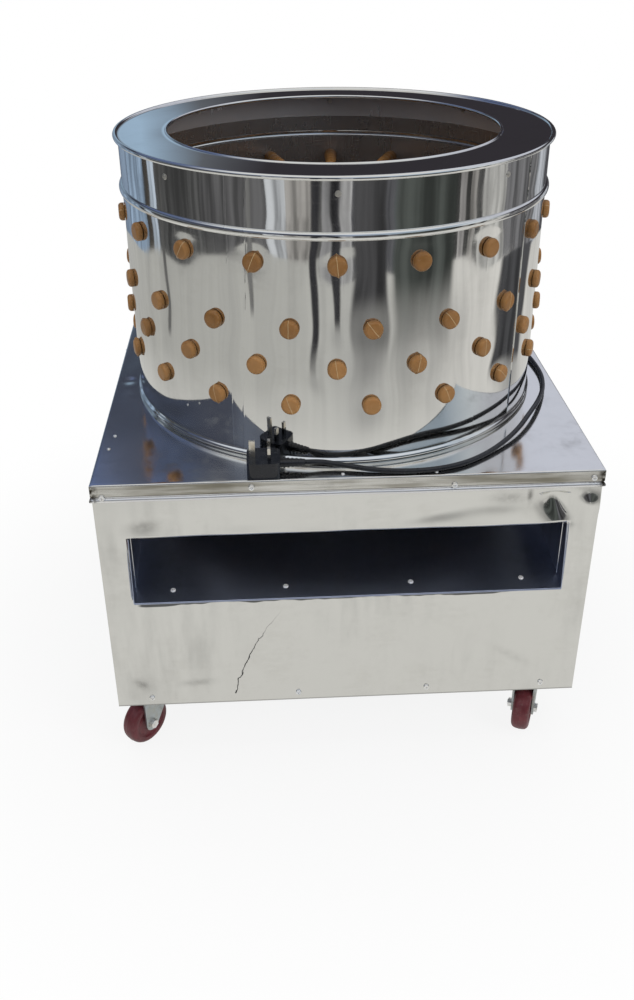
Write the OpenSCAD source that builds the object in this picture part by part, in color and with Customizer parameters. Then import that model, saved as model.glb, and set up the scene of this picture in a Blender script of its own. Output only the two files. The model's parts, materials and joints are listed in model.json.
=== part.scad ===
// Drum poultry plucker on casters: a drum lined with rubber fingers on a square cabinet,
// a belt-driven turntable in its floor, a feather chute and a mains lead.
// Millimetres. +Z is up, the chute's mouth faces -Y, and the origin is on the floor
// under the drum's axis.

/* [Cabinet] */
// Width and depth of the cabinet over the deck's lip
cab_w = 680; // [670:5:760]
// Height of the cabinet from its lower edge to the top of the deck
cab_h = 378; // [370:2:440]
// Thickness of the stainless sheet
sheet = 1.2; // [0.8:0.1:1.5]
// Height of the deck's folded lip
deck_lip = 27; // [22:1:36]
// From the cabinet's side to the end of the chute's mouth
mouth_side = 40; // [38:1:80]
// Height of the chute's mouth
mouth_h = 100; // [80:5:110]
// From the top of the deck down to the top of the mouth
mouth_drop = 83; // [70:1:95]
// How far the chute's lip stands out of the front panel
chute_lip = 10; // [5:1:20]
// From the top of the deck down to the rear end of the chute's floor
chute_back_drop = 48; // [40:1:70]

/* [Drum] */
// Outer diameter of the drum's wall
drum_d = 604; // [580:2:616]
// Height of the drum above the deck
drum_h = 383; // [370:1:420]
// Diameter of the mouth in the drum's top ring
opening_d = 466; // [420:2:500]
// Radius of the rolled rim
rim_roll = 3.2; // [2.5:0.1:4]
// From the rim down to the middle of the stiffening bead
bead_drop = 73; // [65:1:78]
// Radius of the stiffening bead
bead_r = 5.5; // [4:0.1:7]
// Radius of the bead at the drum's foot
foot_r = 4.5; // [3:0.1:6]

/* [Fingers] */
// Fingers in each row round the wall
row_count = 18; // [15:1:20]
// Height above the deck of the first row
row_1_z = 274; // [265:1:284]
// Height above the deck of the second row
row_2_z = 191; // [184:1:206]
// Height above the deck of the third row
row_3_z = 138; // [132:1:150]
// Height above the deck of the fourth row
row_4_z = 86; // [84:1:96]
// Diameter of a finger's head
finger_head_d = 25; // [23:1:28]
// Thickness of a finger's head
finger_head_t = 8; // [6:1:11]
// Diameter of a finger's neck in the sheet
finger_neck_d = 18; // [16:1:19]
// Diameter of a finger's body next to the neck
finger_root_d = 21; // [20:1:23]
// Diameter of a finger's tip
finger_tip_d = 16; // [13:1:18]
// Length of a wall finger inside the drum
wall_finger_len = 84; // [60:1:88]
// Length of a turntable finger above the table
table_finger_len = 72; // [55:1:76]

/* [Turntable] */
// Gap between the turntable's edge and the hole in the deck
table_gap = 12; // [8:1:16]
// Thickness of the turntable
table_t = 3; // [2:0.5:5]
// From the top of the deck down to the top of the turntable
table_drop = 4; // [2:1:8]
// Radius of the outer ring of turntable fingers
outer_ring_r = 235; // [228:1:242]
// Radius of the middle ring of turntable fingers
middle_ring_r = 160; // [150:1:170]
// Radius of the inner ring of turntable fingers
inner_ring_r = 86; // [82:1:95]

/* [Drive] */
// Diameter of the main shaft
shaft_d = 30; // [25:1:34]
// Diameter of the driven pulley
pulley_d = 280; // [250:2:290]
// Diameter of the motor's pulley
motor_pulley_d = 60; // [56:1:70]
// From the main shaft to the motor's shaft
motor_dist = 215; // [205:1:225]
// Diameter of the motor's housing
motor_d = 140; // [130:2:150]
// Height of the motor's housing
motor_h = 150; // [130:2:160]

/* [Casters] */
// Height of a caster from the floor to the cabinet
caster_h = 102; // [98:1:120]
// Diameter of a caster's wheel
wheel_d = 75; // [60:1:80]
// Width of a caster's wheel
wheel_w = 26; // [22:1:32]
// From a swivel's axis to its wheel's axle
trail = 30; // [22:1:34]
// From the cabinet's side to a swivel's axis
caster_inset_x = 50; // [50:1:70]
// From the cabinet's front or rear to a swivel's axis
caster_inset_y = 68; // [60:1:80]

/* [Lead] */
// Diameter of the mains lead
lead_d = 7; // [6:0.5:8]
// Length of the plug's body
plug_l = 44; // [40:1:50]
// Width of the plug's body
plug_w = 46; // [42:1:50]
// Thickness of the plug's body
plug_t = 22; // [18:1:26]

/* [Hidden] */
$fn = 64;

steel = [0.80, 0.81, 0.82];
zinc = [0.70, 0.71, 0.72];
iron = [0.30, 0.32, 0.34];
amber = [0.62, 0.33, 0.12];
maroon = [0.36, 0.07, 0.08];
black = [0.06, 0.06, 0.06];
grey = [0.45, 0.47, 0.50];
brass = [0.80, 0.65, 0.30];

// Gap between sheets that lie against each other
fit_gap = 0.2;
// Radial gap of a shaft in its bore
run_gap = 0.05;
// Gap between faces that move past each other
clear = 0.3;

half = cab_w / 2;
mouth_w = cab_w - 2 * mouth_side;
cab_z = caster_h;
deck_z = cab_z + cab_h;
panel_face = half - sheet - fit_gap;
frame_face = panel_face - sheet - fit_gap;
frame_top = deck_z - sheet;
panel_h = cab_h - sheet - clear;
mouth_top = deck_z - mouth_drop;
mouth_low = mouth_top - mouth_h;

// Angle iron and rails of the frame
angle_w = 30;
angle_t = 3;
rail_w = 40;
rail_t = 3;
rail_x = pulley_d / 2 + 5 + rail_w / 2;
// Gap left between bars that are welded to each other
weld_gap = 0.1;
rail_low = cab_z + angle_t + weld_gap;
rail_top = rail_low + rail_w;
gusset_l = 124;
angle_in = frame_face - angle_t;
angle_leg = frame_face - angle_w;
post_face = angle_in - weld_gap;

// Screws round the deck's lip and the cabinet's lower edge
screw_d = 4;
screw_head_d = 9;
screw_head_t = 2.4;
screw_len = 9;
lip_screw_inset = 15;
lip_screw_pitch = 268;
lip_screw_shift = 4.5;
lip_screw_z = deck_z - deck_lip / 2;
// Hand-drilled screws of the lip stand a little above or below its middle
lip_screw_rise = [-5, 4, -2, 2];
low_screw_inset = 52;
low_screw_pitch = 190;
low_screw_shift = 22;
low_screw_z = cab_z + 15;
lip_screw_x = [-half + lip_screw_inset, lip_screw_shift - lip_screw_pitch / 2,
    lip_screw_shift + lip_screw_pitch / 2, half - lip_screw_inset];
low_screw_x = [-half + low_screw_inset, low_screw_shift - low_screw_pitch / 2,
    low_screw_shift + low_screw_pitch / 2, half - low_screw_inset];

// Drum, its top ring and its rivets
drum_r = drum_d / 2;
drum_in = drum_r - sheet;
rim_z = deck_z + drum_h;
ring_z = rim_z - rim_roll;
wall_top = ring_z - sheet / 2;
bead_z = rim_z - bead_drop;
skirt_h = 42;
hem_r = 2.2;
deck_hole_r = drum_in - 4;
ring_rivet_count = 8;
ring_rivet_turn = -2.8;
ring_rivet_z = rim_z - 22;

// Turntable
table_z = deck_z - table_drop;
table_low = table_z - table_t;
table_r = deck_hole_r - table_gap;
neck_gap = 0.2;
row_turn = -2.9;
row_skew = -1.4;
row_pitch = 360 / row_count;
row_stagger = row_pitch / 2 + row_skew;
outer_ring_count = 16;
middle_ring_count = 11;
inner_ring_count = 6;

// Finger ribs
rib_count = 5;
rib_depth = 1.3;
seat_gap = 0.05;

// Feather chute, seen from the side as a straight line from the mouth to the rear
chute_half = mouth_w / 2 - 2;
chute_rear_y = frame_face - 25;
chute_face_z = mouth_low + fit_gap + sheet;
chute_rear_z = deck_z - chute_back_drop;
chute_slope = (chute_rear_z - chute_face_z) / (chute_rear_y + panel_face);
chute_front_y = -panel_face - chute_lip;
chute_wall_top = table_low - 7;
function chute_floor_z(y) = chute_face_z + chute_slope * (y + panel_face);
chute_angle = atan(chute_slope);
ledge_w = 24;
ledge_t = 3;
front_ledge_y = -post_face + angle_t + weld_gap;
rear_ledge_y = chute_rear_y - ledge_w;
chute_rivet_y = -panel_face + 12;
chute_rivet_x = [-245, -88, 88, 245];
chute_rivet_d = 4;
collar_r = 32;
collar_top = chute_floor_z(0) + 46;

// Main shaft, hub and bearings
shaft_r = shaft_d / 2;
hub_flange_r = 62;
hub_flange_t = 10;
hub_sleeve_r = 25;
hub_sleeve_low = collar_top - 24;
slinger_r = 46;
slinger_z = collar_top + 10;
slinger_low = collar_top - 18;
hub_bolt_r = 45;
hub_bolt_count = 6;
plate_t = 8;
plate_z = rail_top;
plate_top = plate_z + plate_t;
pedestal_flange_r = 78;
pedestal_flange_t = 14;
pedestal_r = 45;
pedestal_top = chute_floor_z(-pedestal_r) - 34;
pedestal_bolt_r = 60;
bearing_od = 62;
bearing_w = 16;
ball_d = 9.4;
ball_count = 8;
ball_ring_r = (shaft_r + bearing_od / 2) / 2;
ball_gap = 0.2;
race_half_gap = 3;

// Belt drive below the plate
belt_z = cab_z + 23;
belt_top_w = 13;
belt_t = 8;
belt_flank = 18;
belt_low_w = belt_top_w - 2 * belt_t * tan(belt_flank);
belt_sink = 1;
belt_big_r = pulley_d / 2 - belt_sink;
belt_small_r = motor_pulley_d / 2 - belt_sink;
belt_wrap = acos((belt_big_r - belt_small_r) / motor_dist);
belt_run = sqrt(motor_dist * motor_dist - pow(belt_big_r - belt_small_r, 2));
pulley_w = 22;
pulley_hub_h = 28;
pulley_hub_r = 30;
pulley_rim_t = 20;
pulley_web_t = 8;

// Motor, standing on the plate with its shaft down
motor_r = motor_d / 2;
motor_wall = 8;
motor_flange_r = motor_r + 25;
motor_flange_t = 10;
motor_bolt_x = (motor_r + 13) / sqrt(2);
motor_shaft_r = 12;
motor_low = plate_top + motor_flange_t;
motor_top = motor_low + motor_h;
shield_t = 10;
cover_h = 46;
cover_t = 1.2;
fan_r = motor_r - 12;
fan_z = motor_top + shield_t + 6;
core_r = 41;
core_h = motor_h - 50;
pad_x = motor_r + 8;
pad_z = motor_low + motor_h / 2;
pad_half_w = 26;
pad_half_h = 36;
fan_hub_h = 18;
fan_blade_h = 16;
terminal_d = 26;
terminal_w = 68;
terminal_h = 76;
terminal_lid_t = 4;
terminal_lid_over = 2;
terminal_gland_r = 8;
terminal_gland_l = 6;
terminal_x = -pad_x - terminal_d - terminal_lid_t - terminal_gland_l;
capacitor_r = 23;
capacitor_h = 92;
saddle_d = 20;
saddle_w = 28;
saddle_h = 48;

// Casters, in the order front left, front right, rear left, rear right
caster_x = half - caster_inset_x;
caster_y = half - caster_inset_y;
caster_at = [[-caster_x, -caster_y], [caster_x, -caster_y], [-caster_x, caster_y],
    [caster_x, caster_y]];
caster_yaw = [-41, -22, 18, -25];
caster_plate_t = 3;
caster_plate_l = 84;
caster_plate_w = 64;
caster_bolt_x = 32;
caster_bolt_y = 22;
race_h = 10;
fork_top = caster_h - caster_plate_t - race_h;
crown_t = 4;
crown_r = 27;
leg_front = 42;
leg_rear = 16;
leg_boss_r = 12;
leg_t = 3;
leg_gap = 1.2;
leg_x = wheel_w / 2 + leg_gap;
kingpin_r = 6;
axle_r = 4;
axle_z = wheel_d / 2;
tread_round = 8;

// Switch box on the deck behind the drum, and the gland of the lead
box_x = -half + 8;
box_y = half - 72;
box_l = 56;
box_w = 66;
box_h = 104;
box_wall = 2.5;
box_cover_t = 3;
button_r = 11;
button_y = box_y + box_w / 2;
start_z = deck_z + 74;
stop_z = deck_z + 38;
button_out = 6;
button_stroke = 4;
button_end = box_x + 17;
gland_y = box_y + box_w - 14;
gland_z = deck_z + 16;
gland_x = box_x + box_l;
gland_nut_t = 8;
boot_l = 32;
cable_d = 7;
cable_x = -half + 24;
cable_y = half - 17;

// Plug, lying on the deck with its pins up
plug_x = -135;
plug_y = -313;
plug_round = 9;
relief_l = 33;
relief_z = 11;
pin_pitch = 22.2;
earth_x = plug_x + 7.5;
pin_x = earth_x + pin_pitch;
sleeve_h = 9;
pin_h = 18;
earth_h = 23;

// Route of the mains lead over the deck, from the gland to the plug, heights above the deck
lead_route = [[gland_x + gland_nut_t + boot_l, gland_y, 16], [-212, 320, 16], [-186, 321, 14],
    [-156, 321, 9], [-124, 322, 5], [-90, 322, 4], [-50, 322, 4], [-10, 322, 4], [32, 321, 4],
    [74, 314, 4], [114, 302, 4], [152, 285, 4], [188, 263, 4], [220, 236, 4], [249, 205, 4],
    [275, 169, 4], [295, 131, 4], [310, 90, 4], [320, 48, 4], [325, 5, 4], [325, -40, 4],
    [318, -80, 5], [306, -118, 8], [290, -155, 11], [270, -192, 12], [246, -230, 9],
    [218, -264, 6], [186, -294, 4], [152, -317, 4], [114, -330, 4], [74, -333, 4],
    [34, -327, 4], [-4, -317, 6], [-34, -311, 9],
    [plug_x + plug_l + relief_l, plug_y, relief_z]];
// Route of the cable from the switch box to the motor, in the part's own heights
cable_route = [[cable_x, cable_y, deck_z + box_wall + 8], [cable_x, cable_y, deck_z - 40],
    [cable_x, cable_y, deck_z - 100], [cable_x, cable_y, deck_z - 160], [cable_x + 5, 318, 282],
    [cable_x + 25, 305, 254], [cable_x + 62, 281, 243], [-205, 250, pad_z], [-165, 226, pad_z],
    [-140, motor_dist + 2, pad_z], [terminal_x, motor_dist, pad_z]];

function on_spline(a, b, c, d, t) = 0.5 * (2 * b + (c - a) * t
    + (2 * a - 5 * b + 4 * c - d) * t * t + (3 * b - a - 3 * c + d) * t * t * t);
function smooth_route(p, n) = concat([for (i = [0 : len(p) - 2]) for (k = [0 : n - 1])
    on_spline(p[max(i - 1, 0)], p[i], p[i + 1], p[min(i + 2, len(p) - 1)], k / n)],
    [p[len(p) - 1]]);
function unit(v) = v / norm(v);
function heading(p, i) = unit(p[min(i + 1, len(p) - 1)] - p[max(i - 1, 0)]);
function side_of(p, i, ref) = unit(cross(heading(p, i), ref));
function tube_point(p, i, ref, r, a) = p[i] + r * (cos(a) * side_of(p, i, ref)
    + sin(a) * cross(side_of(p, i, ref), heading(p, i)));

// Tube of radius r swept along points, with its ring turned by a direction never along it
module tube_along(p, r, sides, ref) {
    rings = len(p);
    ring_points = [for (i = [0 : rings - 1]) for (k = [0 : sides - 1])
        tube_point(p, i, ref, r, 360 * k / sides)];
    all_points = concat(ring_points, [p[0], p[rings - 1]]);
    wall_a = [for (i = [0 : rings - 2]) for (k = [0 : sides - 1])
        [i * sides + k, i * sides + (k + 1) % sides, (i + 1) * sides + k]];
    wall_b = [for (i = [0 : rings - 2]) for (k = [0 : sides - 1])
        [i * sides + (k + 1) % sides, (i + 1) * sides + (k + 1) % sides, (i + 1) * sides + k]];
    start = [for (k = [0 : sides - 1]) [rings * sides, (k + 1) % sides, k]];
    last = (rings - 1) * sides;
    end = [for (k = [0 : sides - 1]) [rings * sides + 1, last + k, last + (k + 1) % sides]];
    polyhedron(points = all_points, faces = concat(wall_a, wall_b, start, end));
}

// Box given by its two corners
module box(low, high) {
    translate(low)
        cube(high - low);
}

// Ring section for a turned part, from radius r0 to r1 and height z0 to z1
module section(r0, r1, z0, z1) {
    translate([r0, z0])
        square([r1 - r0, z1 - z0]);
}

module tube(r_out, r_in, h) {
    difference() {
        cylinder(r = r_out, h = h);
        translate([0, 0, -1])
            cylinder(r = r_in, h = h + 2);
    }
}

// Hexagon bolt with its head above z = 0 and its shank below
module hex_bolt(d, shank) {
    cylinder(r = d * 0.92, h = d * 0.62, $fn = 6);
    translate([0, 0, -shank])
        cylinder(d = d, h = shank);
}

module on_each_side() {
    for (turn = [0 : 90 : 270])
        rotate([0, 0, turn])
            children();
}

// Cross-head screw, head outside y = 0
module panel_screw() {
    rotate([90, 0, 0]) {
        difference() {
            cylinder(d1 = screw_head_d, d2 = screw_head_d - 1.6, h = screw_head_t);
            translate([-2.4, -0.5, screw_head_t - 1.2])
                cube([4.8, 1, 3]);
            translate([-0.5, -2.4, screw_head_t - 1.2])
                cube([1, 4.8, 3]);
        }
        translate([0, 0, -screw_len])
            cylinder(d = screw_d, h = screw_len + 0.1);
    }
}

module panel_screw_holes() {
    on_each_side() {
        for (k = [0 : len(lip_screw_x) - 1])
            translate([lip_screw_x[k], -half - 1, lip_screw_z + lip_screw_rise[k]])
                rotate([-90, 0, 0])
                    cylinder(d = screw_d + 2 * neck_gap, h = 14);
        for (x = low_screw_x)
            translate([x, -half - 1, low_screw_z])
                rotate([-90, 0, 0])
                    cylinder(d = screw_d + 2 * neck_gap, h = 14);
    }
}

module panel_screws() color(zinc) {
    on_each_side() {
        for (k = [0 : len(lip_screw_x) - 1])
            translate([lip_screw_x[k], -half, lip_screw_z + lip_screw_rise[k]])
                panel_screw();
        for (x = low_screw_x)
            translate([x, -panel_face, low_screw_z])
                panel_screw();
    }
}

// Sloping strip under the chute's floor, from y to y + ledge_w
module chute_ledge(y) {
    y1 = y + ledge_w;
    z0 = chute_floor_z(y) - sheet;
    z1 = chute_floor_z(y1) - sheet;
    reach = post_face - angle_t - weld_gap;
    translate([-reach, 0, 0])
        rotate([90, 0, 90])
            linear_extrude(2 * reach)
                polygon([[y, z0], [y1, z1], [y1, z1 - ledge_t], [y, z0 - ledge_t]]);
}

// Holes for the chute's rivets, square to its floor
module chute_rivet_holes() {
    for (x = chute_rivet_x)
        translate([x, chute_rivet_y, chute_floor_z(chute_rivet_y)])
            rotate([chute_angle, 0, 0])
                translate([0, 0, -8])
                    cylinder(d = chute_rivet_d + 2 * neck_gap, h = 16);
}

module caster_bolt_places(i) {
    for (sx = [-1, 1])
        for (sy = [-1, 1])
            translate([caster_at[i][0] + sx * caster_bolt_x, caster_at[i][1] + sy * caster_bolt_y, 0])
                children();
}

// Angle bar along the front with its flat leg at z = 0, both ends coped by cut over another bar
module angle_bar(reach, cut) {
    box([-reach + cut, -frame_face, 0], [reach - cut, -angle_in, angle_w]);
    box([-reach + cut, -frame_face, 0], [reach - cut, -angle_leg, angle_t]);
    if (cut > 0)
        box([-reach, -frame_face, angle_t + weld_gap], [reach, -angle_in, angle_w]);
}

// Square ring of four angle bars, the side bars fitted between the front and rear ones
module angle_ring() {
    for (turn = [0, 180])
        rotate([0, 0, turn])
            angle_bar(frame_face, 0);
    for (turn = [90, 270])
        rotate([0, 0, turn])
            angle_bar(post_face, post_face - angle_leg + weld_gap);
}

// Upright angle in the front left corner, inside the two rings
module corner_post() {
    low = cab_z + angle_t + weld_gap;
    high = frame_top - angle_t - weld_gap;
    box([-post_face, -post_face, low], [-post_face + angle_w, -post_face + angle_t, high]);
    box([-post_face, -post_face, low], [-post_face + angle_t, -post_face + angle_w, high]);
}

// Square tube along Y that carries the drive plate
module drive_rail(x) {
    difference() {
        box([x - rail_w / 2, -post_face, rail_low], [x + rail_w / 2, post_face, rail_top]);
        box([x - rail_w / 2 + rail_t, -frame_face, rail_low + rail_t],
            [x + rail_w / 2 - rail_t, frame_face, rail_top - rail_t]);
    }
}

module base_frame() color(iron) {
    gusset_in = angle_in - gusset_l;
    gusset_out = angle_leg - weld_gap;
    difference() {
        union() {
            translate([0, 0, cab_z])
                angle_ring();
            translate([0, 0, frame_top])
                mirror([0, 0, 1])
                    angle_ring();
            on_each_side() {
                corner_post();
                box([gusset_in, gusset_in, cab_z], [gusset_out, gusset_out, cab_z + angle_t]);
            }
            drive_rail(-rail_x);
            drive_rail(rail_x);
            chute_ledge(front_ledge_y);
            chute_ledge(rear_ledge_y);
        }
        panel_screw_holes();
        chute_rivet_holes();
        for (i = [0 : 3])
            caster_bolt_places(i)
                translate([0, 0, cab_z - 1])
                    cylinder(d = 8 + 2 * neck_gap, h = angle_t + 2);
        plate_bolt_places()
            translate([0, 0, rail_top - rail_t - 1])
                cylinder(d = 10 + 2 * neck_gap, h = rail_t + 2);
        translate([cable_x, cable_y, frame_top - angle_t - 1])
            cylinder(r = cable_d / 2 + 2, h = angle_t + 2);
    }
}

module deck_plate() color(steel) {
    difference() {
        box([-half, -half, deck_z - deck_lip], [half, half, deck_z]);
        box([-half + sheet, -half + sheet, deck_z - deck_lip - 1],
            [half - sheet, half - sheet, deck_z - sheet]);
        translate([0, 0, deck_z - deck_lip])
            cylinder(r = deck_hole_r, h = deck_lip + 1);
        panel_screw_holes();
        translate([cable_x, cable_y, deck_z - sheet - 1])
            cylinder(r = cable_d / 2 + 1.5, h = sheet + 2);
    }
}

// Upright sheet facing -Y
module panel_sheet(reach) {
    box([-reach, -panel_face, cab_z], [reach, -panel_face + sheet, cab_z + panel_h]);
}

module front_panel() color(steel) {
    difference() {
        panel_sheet(panel_face);
        box([-mouth_w / 2, -half, mouth_low], [mouth_w / 2, -panel_face + 5, mouth_top]);
        panel_screw_holes();
    }
}

module rear_panel() color(steel) {
    difference() {
        rotate([0, 0, 180])
            panel_sheet(panel_face);
        panel_screw_holes();
    }
}

module left_panel() color(steel) {
    difference() {
        rotate([0, 0, -90])
            panel_sheet(panel_face - sheet - fit_gap);
        panel_screw_holes();
    }
}

module right_panel() color(steel) {
    difference() {
        rotate([0, 0, 90])
            panel_sheet(panel_face - sheet - fit_gap);
        panel_screw_holes();
    }
}

// Side view of the chute, drawn in Y and Z and made as thick as w along X
module chute_slab(x, w, points) {
    translate([x, 0, 0])
        rotate([90, 0, 90])
            linear_extrude(w)
                polygon(points);
}

// Sloping floor, rear wall, rolled front edge and the collar round the shaft
module feather_chute() color(steel) {
    reach = chute_half - sheet - weld_gap;
    front_z = chute_floor_z(chute_front_y);
    floor_points = [[chute_front_y, front_z], [chute_rear_y, chute_rear_z],
        [chute_rear_y, chute_rear_z - sheet], [chute_front_y, front_z - sheet]];
    difference() {
        union() {
            chute_slab(-reach, 2 * reach, floor_points);
            box([-reach, chute_rear_y - sheet, chute_rear_z - sheet],
                [reach, chute_rear_y, chute_wall_top]);
            translate([-reach, chute_front_y, front_z - sheet / 2])
                rotate([0, 90, 0])
                    cylinder(r = 1.6, h = 2 * reach);
            translate([0, 0, chute_floor_z(-collar_r) - 6])
                cylinder(r = collar_r + sheet, h = collar_top - chute_floor_z(-collar_r) + 6);
        }
        translate([0, 0, chute_floor_z(-collar_r) - 20])
            cylinder(r = collar_r, h = 120);
        chute_rivet_holes();
    }
}

// Side sheets of the chute, welded along its floor, with a notch under the deck's frame
module chute_walls() color(steel) {
    front_z = chute_floor_z(chute_front_y);
    wall_points = [[chute_front_y, front_z - sheet], [chute_rear_y, chute_rear_z - sheet],
        [chute_rear_y, chute_wall_top], [-frame_face + angle_w + 10, chute_wall_top],
        [-frame_face + angle_w, mouth_top - 2], [-panel_face, mouth_top - 2],
        [chute_front_y, front_z + 8]];
    chute_slab(-chute_half, sheet, wall_points);
    chute_slab(chute_half - sheet, sheet, wall_points);
}

// Blind rivet through two sheets, its domed head above z = 0
module rivet(grip) {
    cylinder(r1 = 4, r2 = 2.4, h = 1.7);
    translate([0, 0, -grip])
        cylinder(d = chute_rivet_d, h = grip + 0.1);
    translate([0, 0, -grip - 2])
        cylinder(r = 3, h = 2);
}

module rivets() color(zinc) {
    for (x = chute_rivet_x)
        translate([x, chute_rivet_y, chute_floor_z(chute_rivet_y)])
            rotate([chute_angle, 0, 0])
                translate([0, 0, seat_gap])
                    rivet((sheet + ledge_t) + 2 * seat_gap);
    for (k = [0 : ring_rivet_count - 1])
        rotate([0, 0, ring_rivet_turn + k * 360 / ring_rivet_count])
            translate([0, -drum_r - seat_gap, ring_rivet_z])
                rotate([90, 0, 0])
                    rivet(2 * sheet + fit_gap + 3 * seat_gap);
}

module ring_rivet_holes() {
    for (k = [0 : ring_rivet_count - 1])
        rotate([0, 0, ring_rivet_turn + k * 360 / ring_rivet_count])
            translate([0, -drum_r - 10, ring_rivet_z])
                rotate([-90, 0, 0])
                    cylinder(d = chute_rivet_d + 2 * neck_gap, h = 20);
}

// Places of one row of wall fingers, with +Z of each pointing to the drum's axis
module wall_row(height, turn) {
    for (k = [0 : row_count - 1])
        rotate([0, 0, row_turn + turn + k * row_pitch])
            translate([0, -drum_r, deck_z + height])
                rotate([-90, 0, 0])
                    children();
}

// Bulge rolled into a wall, open on the inside
module bead_section(z, r) {
    intersection() {
        translate([drum_in, z])
            circle(r = r);
        section(drum_in, drum_in + 2 * r, z - r, z + r);
    }
}

module drum_shell() color(steel) {
    difference() {
        rotate_extrude()
            difference() {
                union() {
                    section(drum_in, drum_r, deck_z, wall_top);
                    bead_section(bead_z, bead_r);
                    bead_section(deck_z + foot_r, foot_r);
                }
                translate([drum_in, bead_z])
                    circle(r = bead_r - sheet);
                translate([drum_in, deck_z + foot_r])
                    circle(r = foot_r - sheet);
            }
        wall_row(row_1_z, 0)
            finger_hole();
        wall_row(row_2_z, row_stagger)
            finger_hole();
        wall_row(row_3_z, 0)
            finger_hole();
        wall_row(row_4_z, row_stagger)
            finger_hole();
        ring_rivet_holes();
    }
}

module top_ring() color(steel) {
    skirt_out = drum_in - fit_gap;
    roll_r = drum_r + rim_roll + fit_gap;
    difference() {
        rotate_extrude() {
            section(opening_d / 2 + hem_r, roll_r, ring_z - sheet / 2, ring_z + sheet / 2);
            section(skirt_out - sheet, skirt_out, ring_z - skirt_h, ring_z);
            translate([roll_r, ring_z])
                circle(r = rim_roll);
            translate([opening_d / 2 + hem_r, ring_z])
                circle(r = hem_r);
        }
        ring_rivet_holes();
    }
}

module finger_hole() {
    translate([0, 0, -6])
        cylinder(d = finger_neck_d + 2 * neck_gap, h = 12);
}

// Ribbed rubber finger: head below z = 0, neck through a sheet of thickness t, body above
module finger(t, len) {
    head_r = finger_head_d / 2;
    neck_r = finger_neck_d / 2;
    root_r = finger_root_d / 2;
    tip_r = finger_tip_d / 2;
    body_z = t + 0.3;
    step = (len - 12) / rib_count;
    ribs = [for (i = [0 : rib_count - 1]) let (f = i / rib_count, r = root_r + (tip_r - root_r) * f,
        z = body_z + 6 + i * step) each [[r - rib_depth, z], [r, z + step * 0.4],
        [r, z + step * 0.7]]];
    end_z = body_z + len;
    crown = min(4.5, finger_head_t - 2.5);
    outline = concat([[0, -finger_head_t], [head_r - crown, -finger_head_t],
        [head_r - crown / 3.4, -finger_head_t + crown / 3.4], [head_r, -finger_head_t + crown],
        [head_r, -1], [head_r - 0.5, -seat_gap], [neck_r, -seat_gap],
        [neck_r, body_z], [root_r, body_z + 1.5]], ribs,
        [[tip_r - rib_depth, end_z - 6], [tip_r, end_z - 3], [tip_r - 2, end_z], [0, end_z]]);
    rotate_extrude()
        polygon(outline);
}

module wall_fingers_upper() color(amber) {
    wall_row(row_1_z, 0)
        finger(sheet, wall_finger_len);
    wall_row(row_2_z, row_stagger)
        finger(sheet, wall_finger_len);
}

module wall_fingers_lower() color(amber) {
    wall_row(row_3_z, 0)
        finger(sheet, wall_finger_len);
    wall_row(row_4_z, row_stagger)
        finger(sheet, wall_finger_len);
}

module finger_ring(r, count) {
    for (k = [0 : count - 1])
        rotate([0, 0, k * 360 / count])
            translate([r, 0, table_low])
                children();
}

module hub_bolt_places() {
    for (k = [0 : hub_bolt_count - 1])
        rotate([0, 0, 30 + k * 360 / hub_bolt_count])
            translate([hub_bolt_r, 0, 0])
                children();
}

module turntable() color(steel) {
    difference() {
        translate([0, 0, table_low])
            cylinder(r = table_r, h = table_t);
        finger_ring(outer_ring_r, outer_ring_count)
            finger_hole();
        finger_ring(middle_ring_r, middle_ring_count)
            finger_hole();
        finger_ring(inner_ring_r, inner_ring_count)
            finger_hole();
        hub_bolt_places()
            translate([0, 0, table_low - 1])
                cylinder(d = 8 + 2 * neck_gap, h = table_t + 2);
    }
}

module turntable_fingers() color(amber) {
    finger_ring(outer_ring_r, outer_ring_count)
        finger(table_t, table_finger_len);
    finger_ring(middle_ring_r, middle_ring_count)
        finger(table_t, table_finger_len);
    finger_ring(inner_ring_r, inner_ring_count)
        finger(table_t, table_finger_len);
}

module turntable_hub() color(zinc) {
    difference() {
        rotate_extrude() {
            section(shaft_r + run_gap, hub_flange_r, table_low - hub_flange_t, table_low);
            section(shaft_r + run_gap, hub_sleeve_r, hub_sleeve_low, table_low);
            section(hub_sleeve_r - 1, slinger_r, slinger_z, slinger_z + 3);
            section(slinger_r - 3, slinger_r, slinger_low, slinger_z + 3);
        }
        hub_bolt_places()
            translate([0, 0, table_low - hub_flange_t - 1])
                cylinder(d = 8 + 2 * neck_gap, h = hub_flange_t + 2);
    }
}

module hub_bolts() color(zinc) {
    hub_bolt_places()
        translate([0, 0, table_z + seat_gap])
            hex_bolt(8, table_t + hub_flange_t + seat_gap);
}

module main_shaft() color(zinc) {
    low = belt_z - pulley_hub_h / 2 - 3;
    translate([0, 0, low])
        cylinder(r = shaft_r, h = table_low - 1 - low);
}

module pedestal_bolt_places() {
    for (k = [0 : 3])
        rotate([0, 0, 45 + 90 * k])
            translate([pedestal_bolt_r, 0, 0])
                children();
}

module plate_bolt_places() {
    for (sx = [-1, 1])
        for (y = [-60, motor_dist / 2, motor_dist + 60])
            translate([sx * rail_x, y, 0])
                children();
}

module motor_bolt_places() {
    for (sx = [-1, 1])
        for (sy = [-1, 1])
            translate([sx * motor_bolt_x, motor_dist + sy * motor_bolt_x, 0])
                children();
}

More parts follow.
